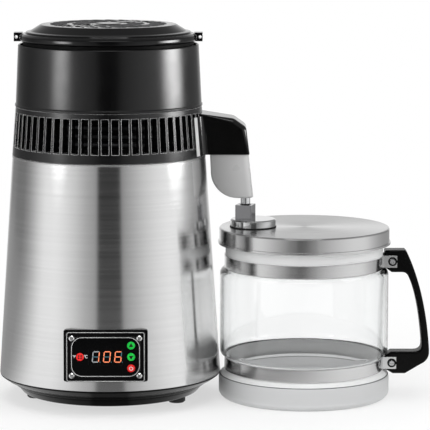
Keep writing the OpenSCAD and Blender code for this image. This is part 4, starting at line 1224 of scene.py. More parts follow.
@dataclass
class Head:
    """Black casing over the louvres, and the wound condenser tube behind them."""

    bottom_z: float = 303.5
    top_z: float = 366.5
    bottom_r: float = 95.5
    top_r: float = 92.5
    wall: float = 2.0
    lip: float = 0.7
    lip_h: float = 3.0
    ledge_z: float = 360.5
    ledge_w: float = 5.0
    ledge_t: float = 3.0
    coil_r: float = 78.0
    tube_r: float = 3.5
    coil_pitch: float = 9.0
    bend_r: float = 16.0
    coil_low_z: float = 268.0
    start_r: float = 45.0
    end_x: float = 116.5
    turn_step: float = 3.0
    bend_steps: int = 16

    def casing(self, book: FinishBook) -> None:
        """Turns the casing with its lip, its ledge and rounded edges.

        Args:
            book: Materials.
        """
        inner = self.top_r - self.wall
        ledge_r = inner - self.ledge_w
        corners = [
            (self.bottom_r - self.wall, self.bottom_z, 0.3), (self.bottom_r + self.lip, self.bottom_z, 0.7),
            (self.bottom_r + self.lip, self.bottom_z + self.lip_h - 0.8, 0.7),
            (self.bottom_r - 0.1, self.bottom_z + self.lip_h, 0.4), (self.top_r, self.top_z, 1.6),
            (inner, self.top_z, 0.5), (inner, self.ledge_z, 0.2), (ledge_r, self.ledge_z, 0.5),
            (ledge_r, self.ledge_z - self.ledge_t, 0.8), (inner, self.ledge_z - 2 * self.ledge_t, 1.0),
        ]
        piece = lathe("head_casing", rounded(corners, True), BOILER_X, True)
        fit(piece, "head", "head_paint", book.of(HEAD_PAINT), "head_shell")

    def coil_path(self) -> Array:
        """Middle of the tube: out from the steam pipe, round a bend, down the turns, out to the spout.

        Returns:
            Points about the boiler's axis. The turns are (r cos a, r sin a) and fall by one pitch a turn.
        """
        r, b = self.coil_r, self.bend_r
        in_x = math.sqrt(r * r - 2 * r * b)
        in_turn = math.degrees(math.atan(b / in_x))
        out_turn = math.degrees(math.asin(b / (r + b)))
        a0, a1 = 180 + in_turn, 4 * 360 - out_turn
        high = self.coil_low_z + self.coil_pitch * (a1 - a0) / 360
        first = arc((-in_x, -b), b, 90, 180 + in_turn, self.bend_steps)
        angle = np.linspace(a0, a1, int((a1 - a0) / self.turn_step))[1:]
        turns = np.stack([r * np.cos(np.radians(angle)), r * np.sin(np.radians(angle)),
                          high - self.coil_pitch * (angle - a0) / 360], axis=1)
        centre = ((r + b) * math.cos(math.radians(out_turn)), -(r + b) * math.sin(math.radians(out_turn)))
        last = arc(centre, b, 180 - out_turn, 90, self.bend_steps)[1:]
        start = np.linspace([-self.start_r, 0.0], first[0], 4)[:-1]
        end = np.linspace(last[-1], [self.end_x, 0.0], 4)[1:]
        top = np.concatenate([start, first])
        bottom = np.concatenate([last, end])
        return np.concatenate([np.column_stack([top, np.full(len(top), high)]), turns,
                               np.column_stack([bottom, np.full(len(bottom), self.coil_low_z)])])

    def build(self, book: FinishBook) -> None:
        """Makes the casing and the tube.

        Args:
            book: Materials.
        """
        self.casing(book)
        points, faces = tube(self.coil_path() + np.array([BOILER_X, 0.0, 0.0]), self.tube_r)
        piece = make_piece("condenser_tube", points, faces)
        fit(piece, "head", "tube_steel", book.of(COIL_STEEL_SHADED), "condenser_coil")


@dataclass
class Cover:
    """Glossy cover over the fan: beaded rim, slope, flat top with two rows of ribbed slots, and two lugs."""

    seat_z: float = 362.5
    neck_r: float = 87.5
    rim_z: float = 369.5
    rim_r: float = 90.5
    rim_h: float = 8.2
    dome_r: float = 82.0
    top_r: float = 69.5
    top_z: float = 387.0
    flat_r: float = 67.0
    wall: float = 2.4
    hub_r: float = 16.0
    hub_h: float = 0.8
    hub_middle_r: float = 1.0
    row_r: tuple[float, float] = (28.75, 51.25)
    row_slots: tuple[int, int] = (16, 26)
    row_edge: float = 40.0
    slot_w: float = 5.6
    slot_half: float = 8.7
    slot_spans: int = 18
    gap_spans: int = 5
    slant: float = 42.0
    rib_r: float = 0.95
    rib_short: float = 0.6
    rib_points: int = 15
    lug_reach: float = 6.0
    lug_w: float = 14.0
    lug_h: float = 9.0
    lug_root: float = 3.0
    lug_hole: float = 3.2
    hole_shift: float = 0.5

    def body(self) -> Shell:
        """Neck, beaded rim and slope up to the edge of the flat top, turned from one profile.

        Returns:
            Points and faces.
        """
        flat, low, high = self.flat_r, self.rim_z, self.rim_z + self.rim_h
        inner = self.neck_r - self.wall
        return turned(rounded([
            (inner, self.seat_z, 0.2), (self.neck_r, self.seat_z, 0.2), (self.neck_r, low, 0.2),
            (self.rim_r - 1.4, low, 1.2), (self.rim_r, low + 2.4, 1.4), (self.rim_r, high - 2.2, 2.0),
            (self.rim_r - 3.4, high, 1.8), (self.dome_r + 3.2, high - 0.4, 0.6),
            (self.dome_r + 2.2, high + 1.8, 1.1), (self.dome_r - 2.0, high + 2.6, 2.0),
            (self.top_r, self.top_z - 0.2, 1.4), (flat, self.top_z, 0), (flat, self.top_z - self.wall, 0.1),
            (self.dome_r - 3.5, high + 0.6, 1.0), (inner, low + 4.5, 0.6),
        ], True, 6), BOILER_X, True)

    def sweep(self, radius: Array, middle: float) -> Array:
        """Angle of a slot's middle line: tan(slant) times the logarithm of the radius over its middle."""
        held = np.clip(radius, middle - self.slot_half, middle + self.slot_half)
        return math.tan(math.radians(self.slant)) * np.log(held / middle)

    def half_angle(self, radius: Array, middle: float) -> Array:
        """Half of a slot's opening as an angle: even along it, falling like a circle's edge at its ends.

        Args:
            radius: Radii to work it out at.
            middle: Radius of the slots' middles.

        Returns:
            Half angles.
        """
        past = (np.abs(radius - middle) - self.slot_half) / (self.slot_w / 2) + 1
        fall = np.sqrt(np.clip(1 - np.clip(past, 0, 1) ** 2, 0, 1))
        return self.slot_w / 2 * fall / (radius * math.cos(math.radians(self.slant)))

    def slotted(self, inner: float, outer: float, middle: float, count: int) -> Shell:
        """Flat ring with a row of swept slots: a grid whose first column of cells in each share is left open.

        Args:
            inner: Inner radius of the ring.
            outer: Outer radius.
            middle: Radius of the slots' middles.
            count: Number of slots.

        Returns:
            Points and faces of both sides and of the slots' walls.
        """
        turn = np.radians(np.linspace(180, 0, self.slot_spans + 1))
        radius = np.concatenate([[inner], middle + self.slot_half * np.cos(turn), [outer]])[:, None]
        share = 2 * math.pi / count
        half = self.half_angle(radius, middle)
        gaps = np.linspace(0.0, 1.0, self.gap_spans + 1)[None, :-1]
        own = np.concatenate([-half, half + (share - 2 * half) * gaps], axis=1)
        shares = own[:, None, :] + share * np.arange(count)[None, :, None]
        angle = shares.reshape(len(radius), -1) + self.sweep(radius, middle)
        rows, columns = angle.shape
        flat = np.stack([BOILER_X + radius * np.cos(angle), radius * np.sin(angle)], axis=-1)
        sides = [np.concatenate([flat, np.full((rows, columns, 1), z)], axis=-1).reshape(-1, 3)
                 for z in (self.top_z, self.top_z - self.wall)]
        cells = [quad for quad in grid_faces(rows, columns, False, True) if quad[0] % columns % own.shape[1]]
        under = rows * columns
        faces = [quad[::-1] for quad in cells] + [[i + under for i in quad] for quad in cells]
        rim = np.arange(columns)
        for row, order in ((0, 1), (rows - 1, -1)):
            here, on = rim + row * columns, np.roll(rim, -1) + row * columns
            faces += np.stack([here, on, on + under, here + under], axis=1)[:, ::order].tolist()
        for first in range(0, columns, own.shape[1]):
            for r in range(1, rows - 2):
                a, b = r * columns + first, (r + 1) * columns + first
                faces += [[a, b, b + under, a + under], [b + 1, a + 1, a + 1 + under, b + 1 + under]]
        return np.concatenate(sides), faces

    def hub(self) -> Shell:
        """Raised pad in the middle, down to the top's underside.

        Returns:
            Points and faces.
        """
        low, high = self.top_z - self.wall, self.top_z + self.hub_h
        return turned(rounded([
            (self.hub_middle_r, low, 0), (self.hub_r, low, 0), (self.hub_r, self.top_z, 0),
            (self.hub_r - 2, self.top_z, 0.2), (self.hub_r - 4, high, 0.5), (self.hub_middle_r, high, 0),
        ], False), BOILER_X, False, 96)

    def lug(self, side: int) -> Shell:
        """Pierced lug on the rim: a ring of cells between its square outline and the hole, closed round.

        Args:
            side: -1 for the left lug, 1 for the right.

        Returns:
            Points and faces.
        """
        middle = np.array([self.rim_r + self.lug_reach / 2 + self.hole_shift, self.rim_z + self.lug_h / 2])
        left, right = self.lug_reach / 2 + self.lug_root, self.lug_reach / 2 - self.hole_shift
        half = self.lug_h / 2
        angle = np.sort(np.concatenate([np.linspace(-math.pi, math.pi, 32, endpoint=False), [
            math.atan2(z, x) for x in (-left, right) for z in (-half, half)]]))
        way = np.stack([np.cos(angle), np.sin(angle)], axis=1)
        wide = np.where(way[:, 0] > 0, right, left) / np.maximum(np.abs(way[:, 0]), 1e-6)
        reach = np.minimum(wide, half / np.maximum(np.abs(way[:, 1]), 1e-6))
        edge, hole = middle + way * reach[:, None], middle + way * self.lug_hole / 2
        y = self.lug_w / 2
        loops = [np.column_stack([side * p[:, 0] + BOILER_X, np.full(len(p), d), p[:, 1]])
                 for p, d in ((edge, -y), (edge, y), (hole, y), (hole, -y))]
        faces = grid_faces(4, len(angle), True, True)
        return np.concatenate(loops), faces if side < 0 else [quad[::-1] for quad in faces]

    def ribs(self) -> Shell:
        """Low round ribs along one edge of every slot.

        At the share t from the middle to an end, a rib's radius is its full one times sqrt(1 - 0.8 t^2).

        Returns:
            Points and faces.
        """
        t = np.linspace(-0.97, 0.97, self.rib_points)
        thick = self.rib_r * np.sqrt(1 - 0.8 * t ** 2)
        reach = self.slot_half - self.rib_short
        parts = []
        for middle, count in zip(self.row_r, self.row_slots):
            radius = np.linspace(middle - reach, middle + reach, self.rib_points)
            beside = (self.slot_w / 2 + self.rib_r) / (radius * math.cos(math.radians(self.slant)))
            for i in range(count):
                angle = 2 * math.pi * i / count + self.sweep(radius, middle) + beside
                path = np.stack([BOILER_X + radius * np.cos(angle), radius * np.sin(angle),
                                 np.full_like(radius, self.top_z)], axis=1)
                parts.append(tube(path, thick, 12))
        return gather(parts)

    def recess(self, piece: bpy.types.Object, book: FinishBook) -> None:
        """Gives the neck and the rim's underside, which lie below the rim's edge, a dull finish.

        Args:
            piece: The finished cover.
            book: Materials.
        """
        mesh = piece.data
        mesh.materials.append(book.of(NECK_BLACK))
        low = face_middles(mesh)[:, 2] < self.rim_z + 0.1
        mesh.polygons.foreach_set("material_index", low.astype(np.int32))

    def build(self, book: FinishBook) -> None:
        """Makes the cover and its ribs.

        Args:
            book: Materials.
        """
        rows = [self.slotted(self.hub_r, self.row_edge, self.row_r[0], self.row_slots[0]),
                self.slotted(self.row_edge, self.flat_r, self.row_r[1], self.row_slots[1])]
        points, faces = gather([self.body(), *rows, self.hub(), self.lug(-1), self.lug(1)])
        piece = make_piece("grille_cover", points, faces)
        fit(piece, "head", "head_plastic", book.of(COVER_BLACK), "top_cover")
        self.recess(piece, book)
        fit(make_piece("grille_ribs", *self.ribs()), "head", "head_plastic", book.of(RIB_HIGHLIGHT_BLACK))


@dataclass
class Spout:
    """Spout cover with rounded edges, its fillets and pale lips of painted highlight on the louvre ring, and
    the grey nozzle.
    """

    bottom_z: float = 254.5
    root_h: float = 42.5
    root_r: float = 95.0
    reach: float = 144.5
    width: float = 44.0
    slope_drop: float = 5.5
    nose_drop: float = 14.5
    slope_end: float = 16.0
    nose_lean: float = 3.5
    nose_round: float = 6.4
    slope_round: float = 10.0
    root_depth: float = 4.0
    edge: float = 5.0
    crisp_edge: float = 0.4
    nozzle_h: float = 45.0
    nozzle_back: float = 104.0
    nozzle_round: float = 26.0
    toe: float = 4.0
    nozzle_toe: float = 2.0
    nozzle_edge: float = 7.0
    nozzle_back_edge: float = 2.5
    nozzle_side: float = 1.0
    heel_lean: float = 2.0
    ring_r: float = 97.6
    ring_slope: float = 0.0792
    ring_sink: float = 1.0
    fillet_r: float = 6.5
    fillet_root: float = 3.0
    skirt_t: float = 0.4
    lip_t: float = 0.9
    lip_span: tuple[float, float] = (20.2, 24.4)
    foot_gap: float = 0.3
    head_gap: float = 3.0

    def cover_outline(self) -> tuple[Array, Array]:
        """Side outline of the cover, whose edge is crisp along its foot and its root.

        From the foot up, the edge radius grows evenly to its full size.

        Returns:
            The outline, and the edge radius wanted at each of its points.
        """
        top, root = self.bottom_z + self.root_h, self.root_r - self.root_depth
        line = rounded([
            (root, self.bottom_z, 0), (self.reach, self.bottom_z, 1.0),
            (self.reach - self.nose_lean, top - self.nose_drop, self.nose_round),
            (self.reach - self.slope_end, top - self.slope_drop, self.slope_round), (root, top, 0),
        ], True, 8)
        rise = [self.bottom_z, self.bottom_z + self.edge]
        edge = np.interp(line[:, 1], rise, [self.crisp_edge, self.edge])
        return line, np.where(line[:, 0] < self.root_r, self.crisp_edge, edge)

    def fillet(self, side: int) -> Array:
        """Plan of the hollow fillet between the louvre ring and one of the cover's cheeks.

        Its arc touches the ring and the cheek, so its centre lies the fillet's radius from both. A thin
        skirt runs on from it along the ring.

        Args:
            side: -1 for the front cheek, 1 for the back.

        Returns:
            Points about the boiler's axis, anticlockwise.
        """
        r, cheek = self.fillet_r, self.width / 2
        y = cheek + r
        x = math.sqrt((self.ring_r + r) ** 2 - y * y)
        lean = math.degrees(math.atan2(y, x))
        bow = arc((x, y), r, 180 + lean, 270, 12)
        past = self.lip_span[1] + 0.6
        skirt = arc((0.0, 0.0), self.ring_r + self.skirt_t, past, lean, 10)
        back = arc((0.0, 0.0), self.ring_r - self.ring_sink, lean - 3, past, 10)
        plan = np.concatenate([skirt, bow[1:], [[x, cheek - self.fillet_root]], back])[::-1]
        return plan if side > 0 else mirrored(plan)

    def lip(self, side: int) -> Array:
        """Plan of the pale lip on the louvre ring beside the fillet, a painted highlight where the ring meets
        the cover's cheek.

        Args:
            side: -1 for the front cheek, 1 for the back.

        Returns:
            Points about the boiler's axis, anticlockwise.
        """
        outer = arc((0.0, 0.0), self.ring_r + self.lip_t, *self.lip_span, 10)
        inner = arc((0.0, 0.0), self.ring_r - self.ring_sink, *self.lip_span, 10)[::-1]
        plan = np.concatenate([outer, inner])
        return plan if side > 0 else mirrored(plan)

    def on_ring(self, points: Array) -> Array:
        """Points drawn for the louvre ring's middle radius, fitted to its taper by their height."""
        scale = 1 - self.ring_slope * (points[:, 2:3] - self.bottom_z - self.root_h / 2) / self.ring_r
        return points * np.concatenate([scale, scale, np.ones_like(scale)], axis=1)

    def nozzle_sections(self) -> Array:
        """Level sections of the nozzle, from its flat bottom up to the cover.

        Up the heel the back edge is b + R - R sin a at the height R(1 - cos a), and the front leans in.
        Each section is a rectangle with rounded corners. The lowest ones are drawn in by the bottom
        edge's own rounding, e - sqrt(e^2 - (e - z)^2).

        Returns:
            Points, by section, round the section and coordinate.
        """
        low, heel = self.bottom_z - self.nozzle_h, self.nozzle_round
        turn = np.radians(np.linspace(0.0, 90.0, 25))
        z = np.concatenate([heel * (1 - np.cos(turn)), np.linspace(heel, self.nozzle_h, 6)[1:]])
        bend = np.concatenate([heel - heel * np.sin(turn), np.zeros(5)])
        back = bend + self.nozzle_back + self.heel_lean * (1 - z / self.nozzle_h)
        front = self.reach + self.toe - (self.toe + self.nozzle_side) * z / self.nozzle_h
        e = self.nozzle_toe
        inset = e - np.sqrt(np.maximum(e * e - np.maximum(e - z, 0.0) ** 2, 0.0))
        rf, rb = self.nozzle_edge, self.nozzle_back_edge
        sections = []
        for height, b, f, d in zip(z, back + inset, front - inset, inset):
            h = self.width / 2 - self.nozzle_side - d
            ring = np.concatenate([
                arc((f - rf, -h + rf), rf, -90, 0, 8), arc((f - rf, h - rf), rf, 0, 90, 8),
                arc((b + rb, h - rb), rb, 90, 180, 5), arc((b + rb, -h + rb), rb, 180, 270, 5)])
            sections.append(np.column_stack([ring, np.full(len(ring), low + height)]))
        return np.stack(sections)

    def build(self, book: FinishBook) -> None:
        """Makes the cover, the fillets, the pale lips of painted highlight and the nozzle.

        Args:
            book: Materials.
        """
        shift = np.array([BOILER_X, 0.0, 0.0])
        line, edge = self.cover_outline()
        points, faces = rounded_slab(line, self.width / 2, edge, 7)
        piece = make_piece("spout_cover", upright(points) + shift, faces)
        fit(piece, "head", "spout_plastic", book.of(GLOSS_BLACK), "spout_housing")
        low, high = self.bottom_z + self.foot_gap, self.bottom_z + self.root_h - self.head_gap
        for name, plan, finish in (("spout_fillets", self.fillet, GLOSS_BLACK),
                                   ("spout_highlight_lips", self.lip, LIP_HIGHLIGHT_GREY)):
            points, faces = gather([plates([plan(side)], low, high) for side in (-1, 1)])
            piece = make_piece(name, self.on_ring(points) + shift, faces)
            fit(piece, "head", "spout_plastic", book.of(finish))
        rings = self.nozzle_sections()
        piece = make_piece("spout_nose", rings + shift, capped_faces(*rings.shape[:2]))
        fit(piece, "head", "nozzle_plastic", book.of(NOZZLE_GREY), "spout_nozzle")


@dataclass
class Jug:
    """Glass body with its neck, waists and bulged foot, clear between the bands and past them coloured white
    as a painted reflection of its white surroundings.
    """

    body_r: float = 87.3
    neck_r: float = 81.5
    foot_r: float = 88.5
    height: float = 173.0
    wall: float = 3.5
    floor: float = 5.5
    foot_h: float = 28.5
    foot_round: float = 7.0
    foot_slope: float = 4.0
    middle_r: float = 8.0
    body_z: float = 43.0
    neck_z: float = 135.0
    shoulder: float = 7.0
    line_h: float = 1.1
    white_zone_gap: float = 4.0

    def wall_line(self, inset: float, floor_z: float) -> Array:
        """Profile from near the middle of the floor up to the neck, drawn in by an inset.

        Args:
            inset: How far the profile is drawn in.
            floor_z: Height of its floor.

        Returns:
            Radius and height of each point.
        """
        foot, waist, body = self.foot_r - inset, self.neck_r - inset, self.body_r - inset
        edge = self.foot_h - self.foot_slope
        return np.concatenate([
            [[self.middle_r, floor_z], [foot - self.foot_round - 2, floor_z]],
            arc((foot - self.foot_round, floor_z + self.foot_round), self.foot_round, -90, 0, 10),
            curve((foot, edge - 5), (foot, edge - 0.5), (foot - 1.6, edge), 6),
            [[waist, self.foot_h]],
            curve((waist, self.body_z), (body, self.body_z + 1), (body, self.body_z + self.shoulder), 10),
            curve((body, self.neck_z - self.shoulder), (body, self.neck_z - 1), (waist, self.neck_z), 10),
        ])

    def build(self, book: FinishBook) -> None:
        """Turns the glass, with its mouth rounded.

        Args:
            book: Materials.
        """
        half = self.wall / 2
        lip = arc((self.neck_r - half, self.height - half), half, 0, 180, 10)
        profile = np.concatenate([self.wall_line(0.0, 0.0), lip, self.wall_line(self.wall, self.floor)[::-1]])
        piece = lathe("jug_glass", profile, JUG_X, False, 256, 60.0)
        fit(piece, "jug", "jug_glass", book.of(GLASS), "glass_jug")
        # Painted reflection: the foot and the neck are coloured white
        self.frost(piece, book)

    def frost(self, piece: bpy.types.Object, book: FinishBook) -> None:
        """Gives the foot and the neck, past the clear body between the bands, a white that paints the
        reflection of the white surroundings.

        The foot's upper edge keeps a thin dark line of painted shade, and the floor is the clearest part.

        Args:
            piece: The turned glass.
            book: Materials.
        """
        mesh = piece.data
        for finish in (FOOT_PAINTED_WHITE, NECK_PAINTED_WHITE, FOOT_SHADE_LINE, FLOOR_GLASS):
            mesh.materials.append(book.of(finish))
        place = face_middles(mesh)
        radius = np.hypot(place[:, 0] - JUG_X, place[:, 1])
        height = place[:, 2]
        outside = radius > self.neck_r - self.wall / 2
        edge = self.foot_h - self.foot_slope
        foot = outside & (height > 0.4) & (height < edge - self.line_h)
        # Thin band of painted shade along the foot's upper edge
        line = outside & (height >= edge - self.line_h) & (height < edge)
        neck = (radius > self.neck_r - self.wall - 1) & (height > self.neck_z + self.white_zone_gap)
        neck |= outside & (height >= edge) & (height < self.body_z - self.white_zone_gap)
        base = (radius < self.foot_r - self.wall - self.foot_round) & (height < self.floor + 1)
        zone = np.select([foot, neck, line, base], [1, 2, 3, 4], 0)
        mesh.polygons.foreach_set("material_index", zone.astype(np.int32))


@dataclass
class Inlet:
    """Dark ring under the inlet's chrome disc: a seal, and painted shade where the disc meets the lid."""

    ring_r: float = 0.6
    spans: int = 128

    def build(self, book: FinishBook) -> None:
        """Lays a round ring along the disc's lower edge, where the disc meets the lid.

        Args:
            book: Materials.
        """
        low, high = (np.array(corner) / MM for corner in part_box("inlet_flange"))
        outline = circle(tuple((low + high)[:2] / 2), (high[0] - low[0]) / 2, self.spans)
        points, faces = bead(outline, low[2] + self.ring_r, self.ring_r)
        fit(make_piece("flange_seal_and_shade", points, faces), "lid", "foot_rubber", book.of(FOOT_RUBBER))


@dataclass
class Handle:
    """Black D handle with rounded edges, between the two bands, and the washers of its screws."""

    root_x: float = 83.05
    clear_x: float = 90.3
    reach: float = 130.0
    width: float = 20.0
    top_z: float = 153.75
    bottom_z: float = 24.25
    lug_h: float = 23.0
    upper_band_z: float = 136.0
    lower_band_z: float = 29.5
    band_h: float = 12.5
    grip_top_t: float = 5.2
    grip_bottom_t: float = 8.0
    edge: float = 2.2
    washer_drop: float = 2.1
    washer_r: float = 0.65
    washer_spans: int = 48

    def outline(self) -> Array:
        """Side outline, anticlockwise from the lower lug: lugs joined by a bowed grip.

        Returns:
            Points about the jug's axis.
        """
        upper, lower = self.top_z - self.lug_h, self.bottom_z + self.lug_h
        lug_top, lug_low = self.root_x + 23, self.root_x + 22
        knee, grip_x = lower + 2, self.reach - self.grip_bottom_t
        bow = np.array([self.reach - 4, (self.top_z + knee) / 2 + 8])
        outer = curve((self.reach, knee), tuple(bow), (lug_top, self.top_z - 2), 20)
        inner = curve((lug_top + 5 - self.grip_top_t + 2, upper - 5), tuple(bow - [self.grip_bottom_t, 4]),
                      (grip_x, lower + 11), 20)
        return np.concatenate([
            [[self.root_x, self.lower_band_z], [self.clear_x + 2, self.bottom_z], [lug_low, self.bottom_z]],
            curve((self.reach - 9, lower - 13.5), (self.reach, lower - 9.5), (self.reach, lower - 0.5), 10),
            outer,
            [[lug_top - 2, self.top_z], [self.root_x + 1, self.top_z], [self.root_x, self.top_z - 1],
             [self.root_x, self.upper_band_z], [self.clear_x, upper]],
            curve((lug_top - 5, upper), (lug_top, upper), tuple(inner[0]), 7)[:-1],
            inner,
            curve((grip_x, lower + 7.5), (grip_x, lower), (grip_x - 8, lower), 8),
            [[self.clear_x, lower], [self.root_x, self.lower_band_z + self.band_h]],
        ])

    def washers(self) -> Shell:
        """Dark washers: a round line along the foot of each screw's head, on both sides of the handle.

        Returns:
            Points and faces.
        """
        low, high = (np.array(corner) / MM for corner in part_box("handle_screws"))
        radius = (high[0] - low[0]) / 2
        parts = []
        for z in (low[2] + radius, high[2] - radius):
            ring = circle((low[0] + radius, z), radius, self.washer_spans)
            for y in (low[1] + self.washer_drop, high[1] - self.washer_drop):
                points, faces = bead(ring, -y, self.washer_r)
                parts.append((upright(points).reshape(-1, 3), faces))
        return gather(parts)

    def build(self, book: FinishBook) -> None:
        """Carries the outline across the handle's width, and lays the washers.

        Args:
            book: Materials.
        """
        line = self.outline()
        points, faces = rounded_slab(line, self.width / 2, np.full(len(line), self.edge), 5)
        piece = make_piece("jug_handle", upright(points) + np.array([JUG_X, 0.0, 0.0]), faces)
        fit(piece, "jug", "handle_plastic", book.of(HANDLE_BLACK), "handle")
        fit(make_piece("screw_washers", *self.washers()), "jug", "handle_plastic", book.of(HANDLE_BLACK))


# Studio

def grey(tone: float) -> tuple[float, float, float, float]:
    """Opaque grey of a tone."""
    return (tone, tone, tone, 1.0)


@dataclass(frozen=True)
class Lamp:
    """A soft lamp: its place, aim and size in metres, its power in watts, and the angle it shines into."""

    name: str
    at: tuple[float, float, float]
    aim: tuple[float, float, float]
    size: tuple[float, float]
    power: float
    in_gloss: bool = False
    spread: float = 180.0

    def build(self) -> None:
        """Makes the lamp and turns it towards its aim."""
        data = bpy.data.lights.new(self.name, "AREA")
        data.shape = "RECTANGLE"
        data.size, data.size_y = self.size
        data.energy = self.power
        data.spread = math.radians(self.spread)
        lamp = bpy.data.objects.new(self.name, data)
        lamp.location = self.at
        way = np.array(self.aim) - np.array(self.at)
        lamp.rotation_euler = (math.acos(-way[2] / np.linalg.norm(way)), 0.0, math.atan2(-way[0], way[1]))
        lamp.visible_glossy = self.in_gloss
        bpy.context.scene.collection.objects.link(lamp)


LAMPS = (
    Lamp("left_panel", (-1.7, -1.2, 1.1), (0.0, 0.0, 0.2), (1.2, 1.6), 15.0),
    Lamp("right_panel", (1.9, -0.6, 1.2), (0.0, 0.0, 0.2), (1.2, 1.6), 15.0),
    Lamp("top_panel", (0.0, 0.2, 2.2), (0.0, 0.0, 0.0), (2.0, 2.0), 24.0),
    Lamp("left_strip", (-0.705, -0.402, 0.345), (-0.157, -0.079, 0.42), (0.34, 0.13), 0.054, True, 32.0),
    Lamp("right_strip", (0.618, -0.073, 0.345), (-0.046, -0.069, 0.44), (0.48, 0.13), 0.25, True, 40.0),
    Lamp("front_panel", (0.0, -1.3, 2.0), (0.0, 0.0, 0.2), (1.6, 0.5), 9.0, True),
)


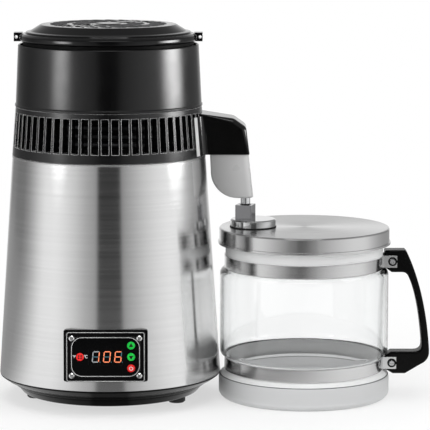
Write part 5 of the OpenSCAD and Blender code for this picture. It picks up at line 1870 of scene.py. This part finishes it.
@dataclass
class Studio:
    """Camera at the photograph's place, pale floor, soft lamps and a white room with dark gaps."""

    lens: float = 214.3
    sensor_w: float = 36.0
    far_clip: float = 50.0
    camera_at: tuple[float, float, float] = (0.0006, -2.621, 0.560)
    pitch: float = 8.05
    floor_half: float = 1.6
    floor_points: int = 9
    floor_tones: tuple[float, float] = (0.86, 0.88)
    cloud_scale: float = 3.0
    shadow_lift: float = 0.62
    shadow_span: tuple[float, float] = (0.26, 0.55)
    floor_gap: float = 0.16
    soft_tone: float = 0.42
    roof_tone: float = 0.28
    roof_span: tuple[float, float] = (0.10, 0.55)
    # Angle in degrees from the camera's side, growing towards +X, and the tone that gloss sees there
    tones: tuple[tuple[float, float], ...] = (
        (-180, 1.0), (-168, 0.82), (-152, 0.26), (-129, 0.20), (-114, 0.22), (-104, 0.34), (-94, 0.55),
        (-85, 0.80), (-76, 1.0), (-62, 1.06), (-52, 0.98), (-38, 0.77), (-24, 0.50), (-12.5, 0.37),
        (-10.0, 0.03), (14.0, 0.03), (16.5, 0.33), (28, 0.50), (42, 0.72), (56, 0.90), (72, 1.04),
        (82, 1.04), (90, 0.95), (100, 0.70), (112, 0.48), (125, 0.33), (150, 0.24), (168, 0.82), (180, 1.0))

    def camera(self) -> None:
        """Makes the camera and gives it to the scene."""
        data = bpy.data.cameras.new("studio_camera")
        data.lens, data.sensor_width, data.sensor_fit = self.lens, self.sensor_w, "AUTO"
        data.clip_end = self.far_clip
        camera = bpy.data.objects.new("studio_camera", data)
        camera.location = self.camera_at
        camera.rotation_euler = (math.radians(90 - self.pitch), 0.0, 0.0)
        bpy.context.scene.collection.objects.link(camera)
        bpy.context.scene.camera = camera

    def panels(self, nodes: Nodes, x: Socket, y: Socket) -> Socket:
        """Tone of the white panels and the dark gaps between them, by the angle from the camera's side.

        The angle is atan2(x, -y), so it is 0 towards the camera and grows towards +X.

        Args:
            nodes: Tree of the room or of the floor.
            x: Coordinate along X.
            y: Coordinate along Y.

        Returns:
            The tone.
        """
        turn = nodes.maths("ARCTAN2", x, nodes.maths("MULTIPLY", y, -1.0))
        ramp = nodes.add("ValToRGB", {0: nodes.spread(turn, 0.0, 1.0, (-math.pi, math.pi))})
        stops = ramp.color_ramp.elements
        for i, (degrees, tone) in enumerate(self.tones):
            place = degrees / 360.0 + 0.5
            # A new ramp comes with two stops
            stop = stops[i] if i < 2 else stops.new(place)
            stop.position = place
            stop.color = grey(tone)
        return ramp.outputs[0]

    def floor(self) -> None:
        """Makes the pale floor, which takes the shadow near the object. Gloss sees the panels in it."""
        side = np.linspace(-self.floor_half, self.floor_half, self.floor_points) / MM
        x, y = np.meshgrid(side, side, indexing="ij")
        piece = make_piece("studio_floor", np.stack([x, y, np.zeros_like(x)], axis=-1),
                           grid_faces(self.floor_points, self.floor_points, False, False))
        s = Shader("studio_floor")
        place = s.place()
        cloud = s.spread(s.noise(place, self.cloud_scale), 0.0, 1.0)
        tone = s.between(cloud, grey(self.floor_tones[0]), grey(self.floor_tones[1]))
        matt = s.add("BsdfDiffuse", {"Color": tone}).outputs[0]
        path = s.add("LightPath").outputs
        far = s.add("VectorMath", {0: place}, operation="LENGTH").outputs["Value"]
        lift = s.spread(far, self.shadow_lift, 1.0, self.shadow_span)
        # A ray that comes straight through the glass sees plain white
        direct = s.maths("GREATER_THAN", path["Is Transmission Ray"], path["Glossy Depth"])
        white = s.maths("MAXIMUM", s.maths("MULTIPLY", lift, path["Is Camera Ray"]), direct)
        plain = s.add("MixShader", {0: white, 1: matt, 2: s.add("Emission").outputs[0]}).outputs[0]
        moved = s.add("VectorMath", {0: place, 1: (-BOILER_X * MM, 0.0, 0.0)}, operation="ADD").outputs[0]
        split = s.add("SeparateXYZ", {0: moved}).outputs
        shown = s.spread(self.panels(s, split[0], split[1]), self.floor_gap, 1.0, (0.0, 1.0))
        gloss = s.add("Emission", {"Color": shown}).outputs[0]
        mirror = s.maths("GREATER_THAN", path["Is Glossy Ray"], path["Is Transmission Ray"])
        dress(piece, s.close(s.add("MixShader", {0: mirror, 1: plain, 2: gloss})))

    def room(self) -> None:
        """Makes the room: plain for soft light, white to the camera, panels with dark gaps in gloss."""
        world = bpy.data.worlds.new("studio_room")
        bpy.context.scene.world = world
        world.use_nodes = True
        nodes = Nodes(world.node_tree)
        split = nodes.add("SeparateXYZ", {0: nodes.add("TexCoord").outputs["Generated"]}).outputs
        height = nodes.spread(split[2], 0.0, 1.0, self.roof_span)
        shown = nodes.between(height, self.panels(nodes, split[0], split[1]), grey(self.roof_tone))
        path = nodes.add("LightPath").outputs
        direct = nodes.maths("GREATER_THAN", path["Is Transmission Ray"], path["Glossy Depth"])
        seen = nodes.maths("MAXIMUM", path["Is Camera Ray"], direct)
        light = nodes.between(path["Is Glossy Ray"], grey(self.soft_tone), shown)
        ground = nodes.add("Background", {0: nodes.between(seen, light, grey(1.0))})
        nodes.add("OutputWorld", {0: ground.outputs[0]})

    def build(self) -> None:
        """Sets up the whole studio."""
        self.camera()
        self.floor()
        self.room()
        for lamp in LAMPS:
            lamp.build()
        bpy.context.scene.view_settings.view_transform = "Standard"


def main() -> None:
    """Loads the frame, dresses it, sets up the studio and builds every piece."""
    logging.basicConfig(level=logging.INFO, format="%(name)s: %(message)s")
    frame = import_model()
    book = FinishBook()
    book.dress_nodes(frame["nodes"])
    Studio().build()
    for assembly in (Base(), ControlPanel(), Head(), Cover(), Spout(), Jug(), Inlet(), Handle()):
        assembly.build(book)


if __name__ == "__main__":
    main()
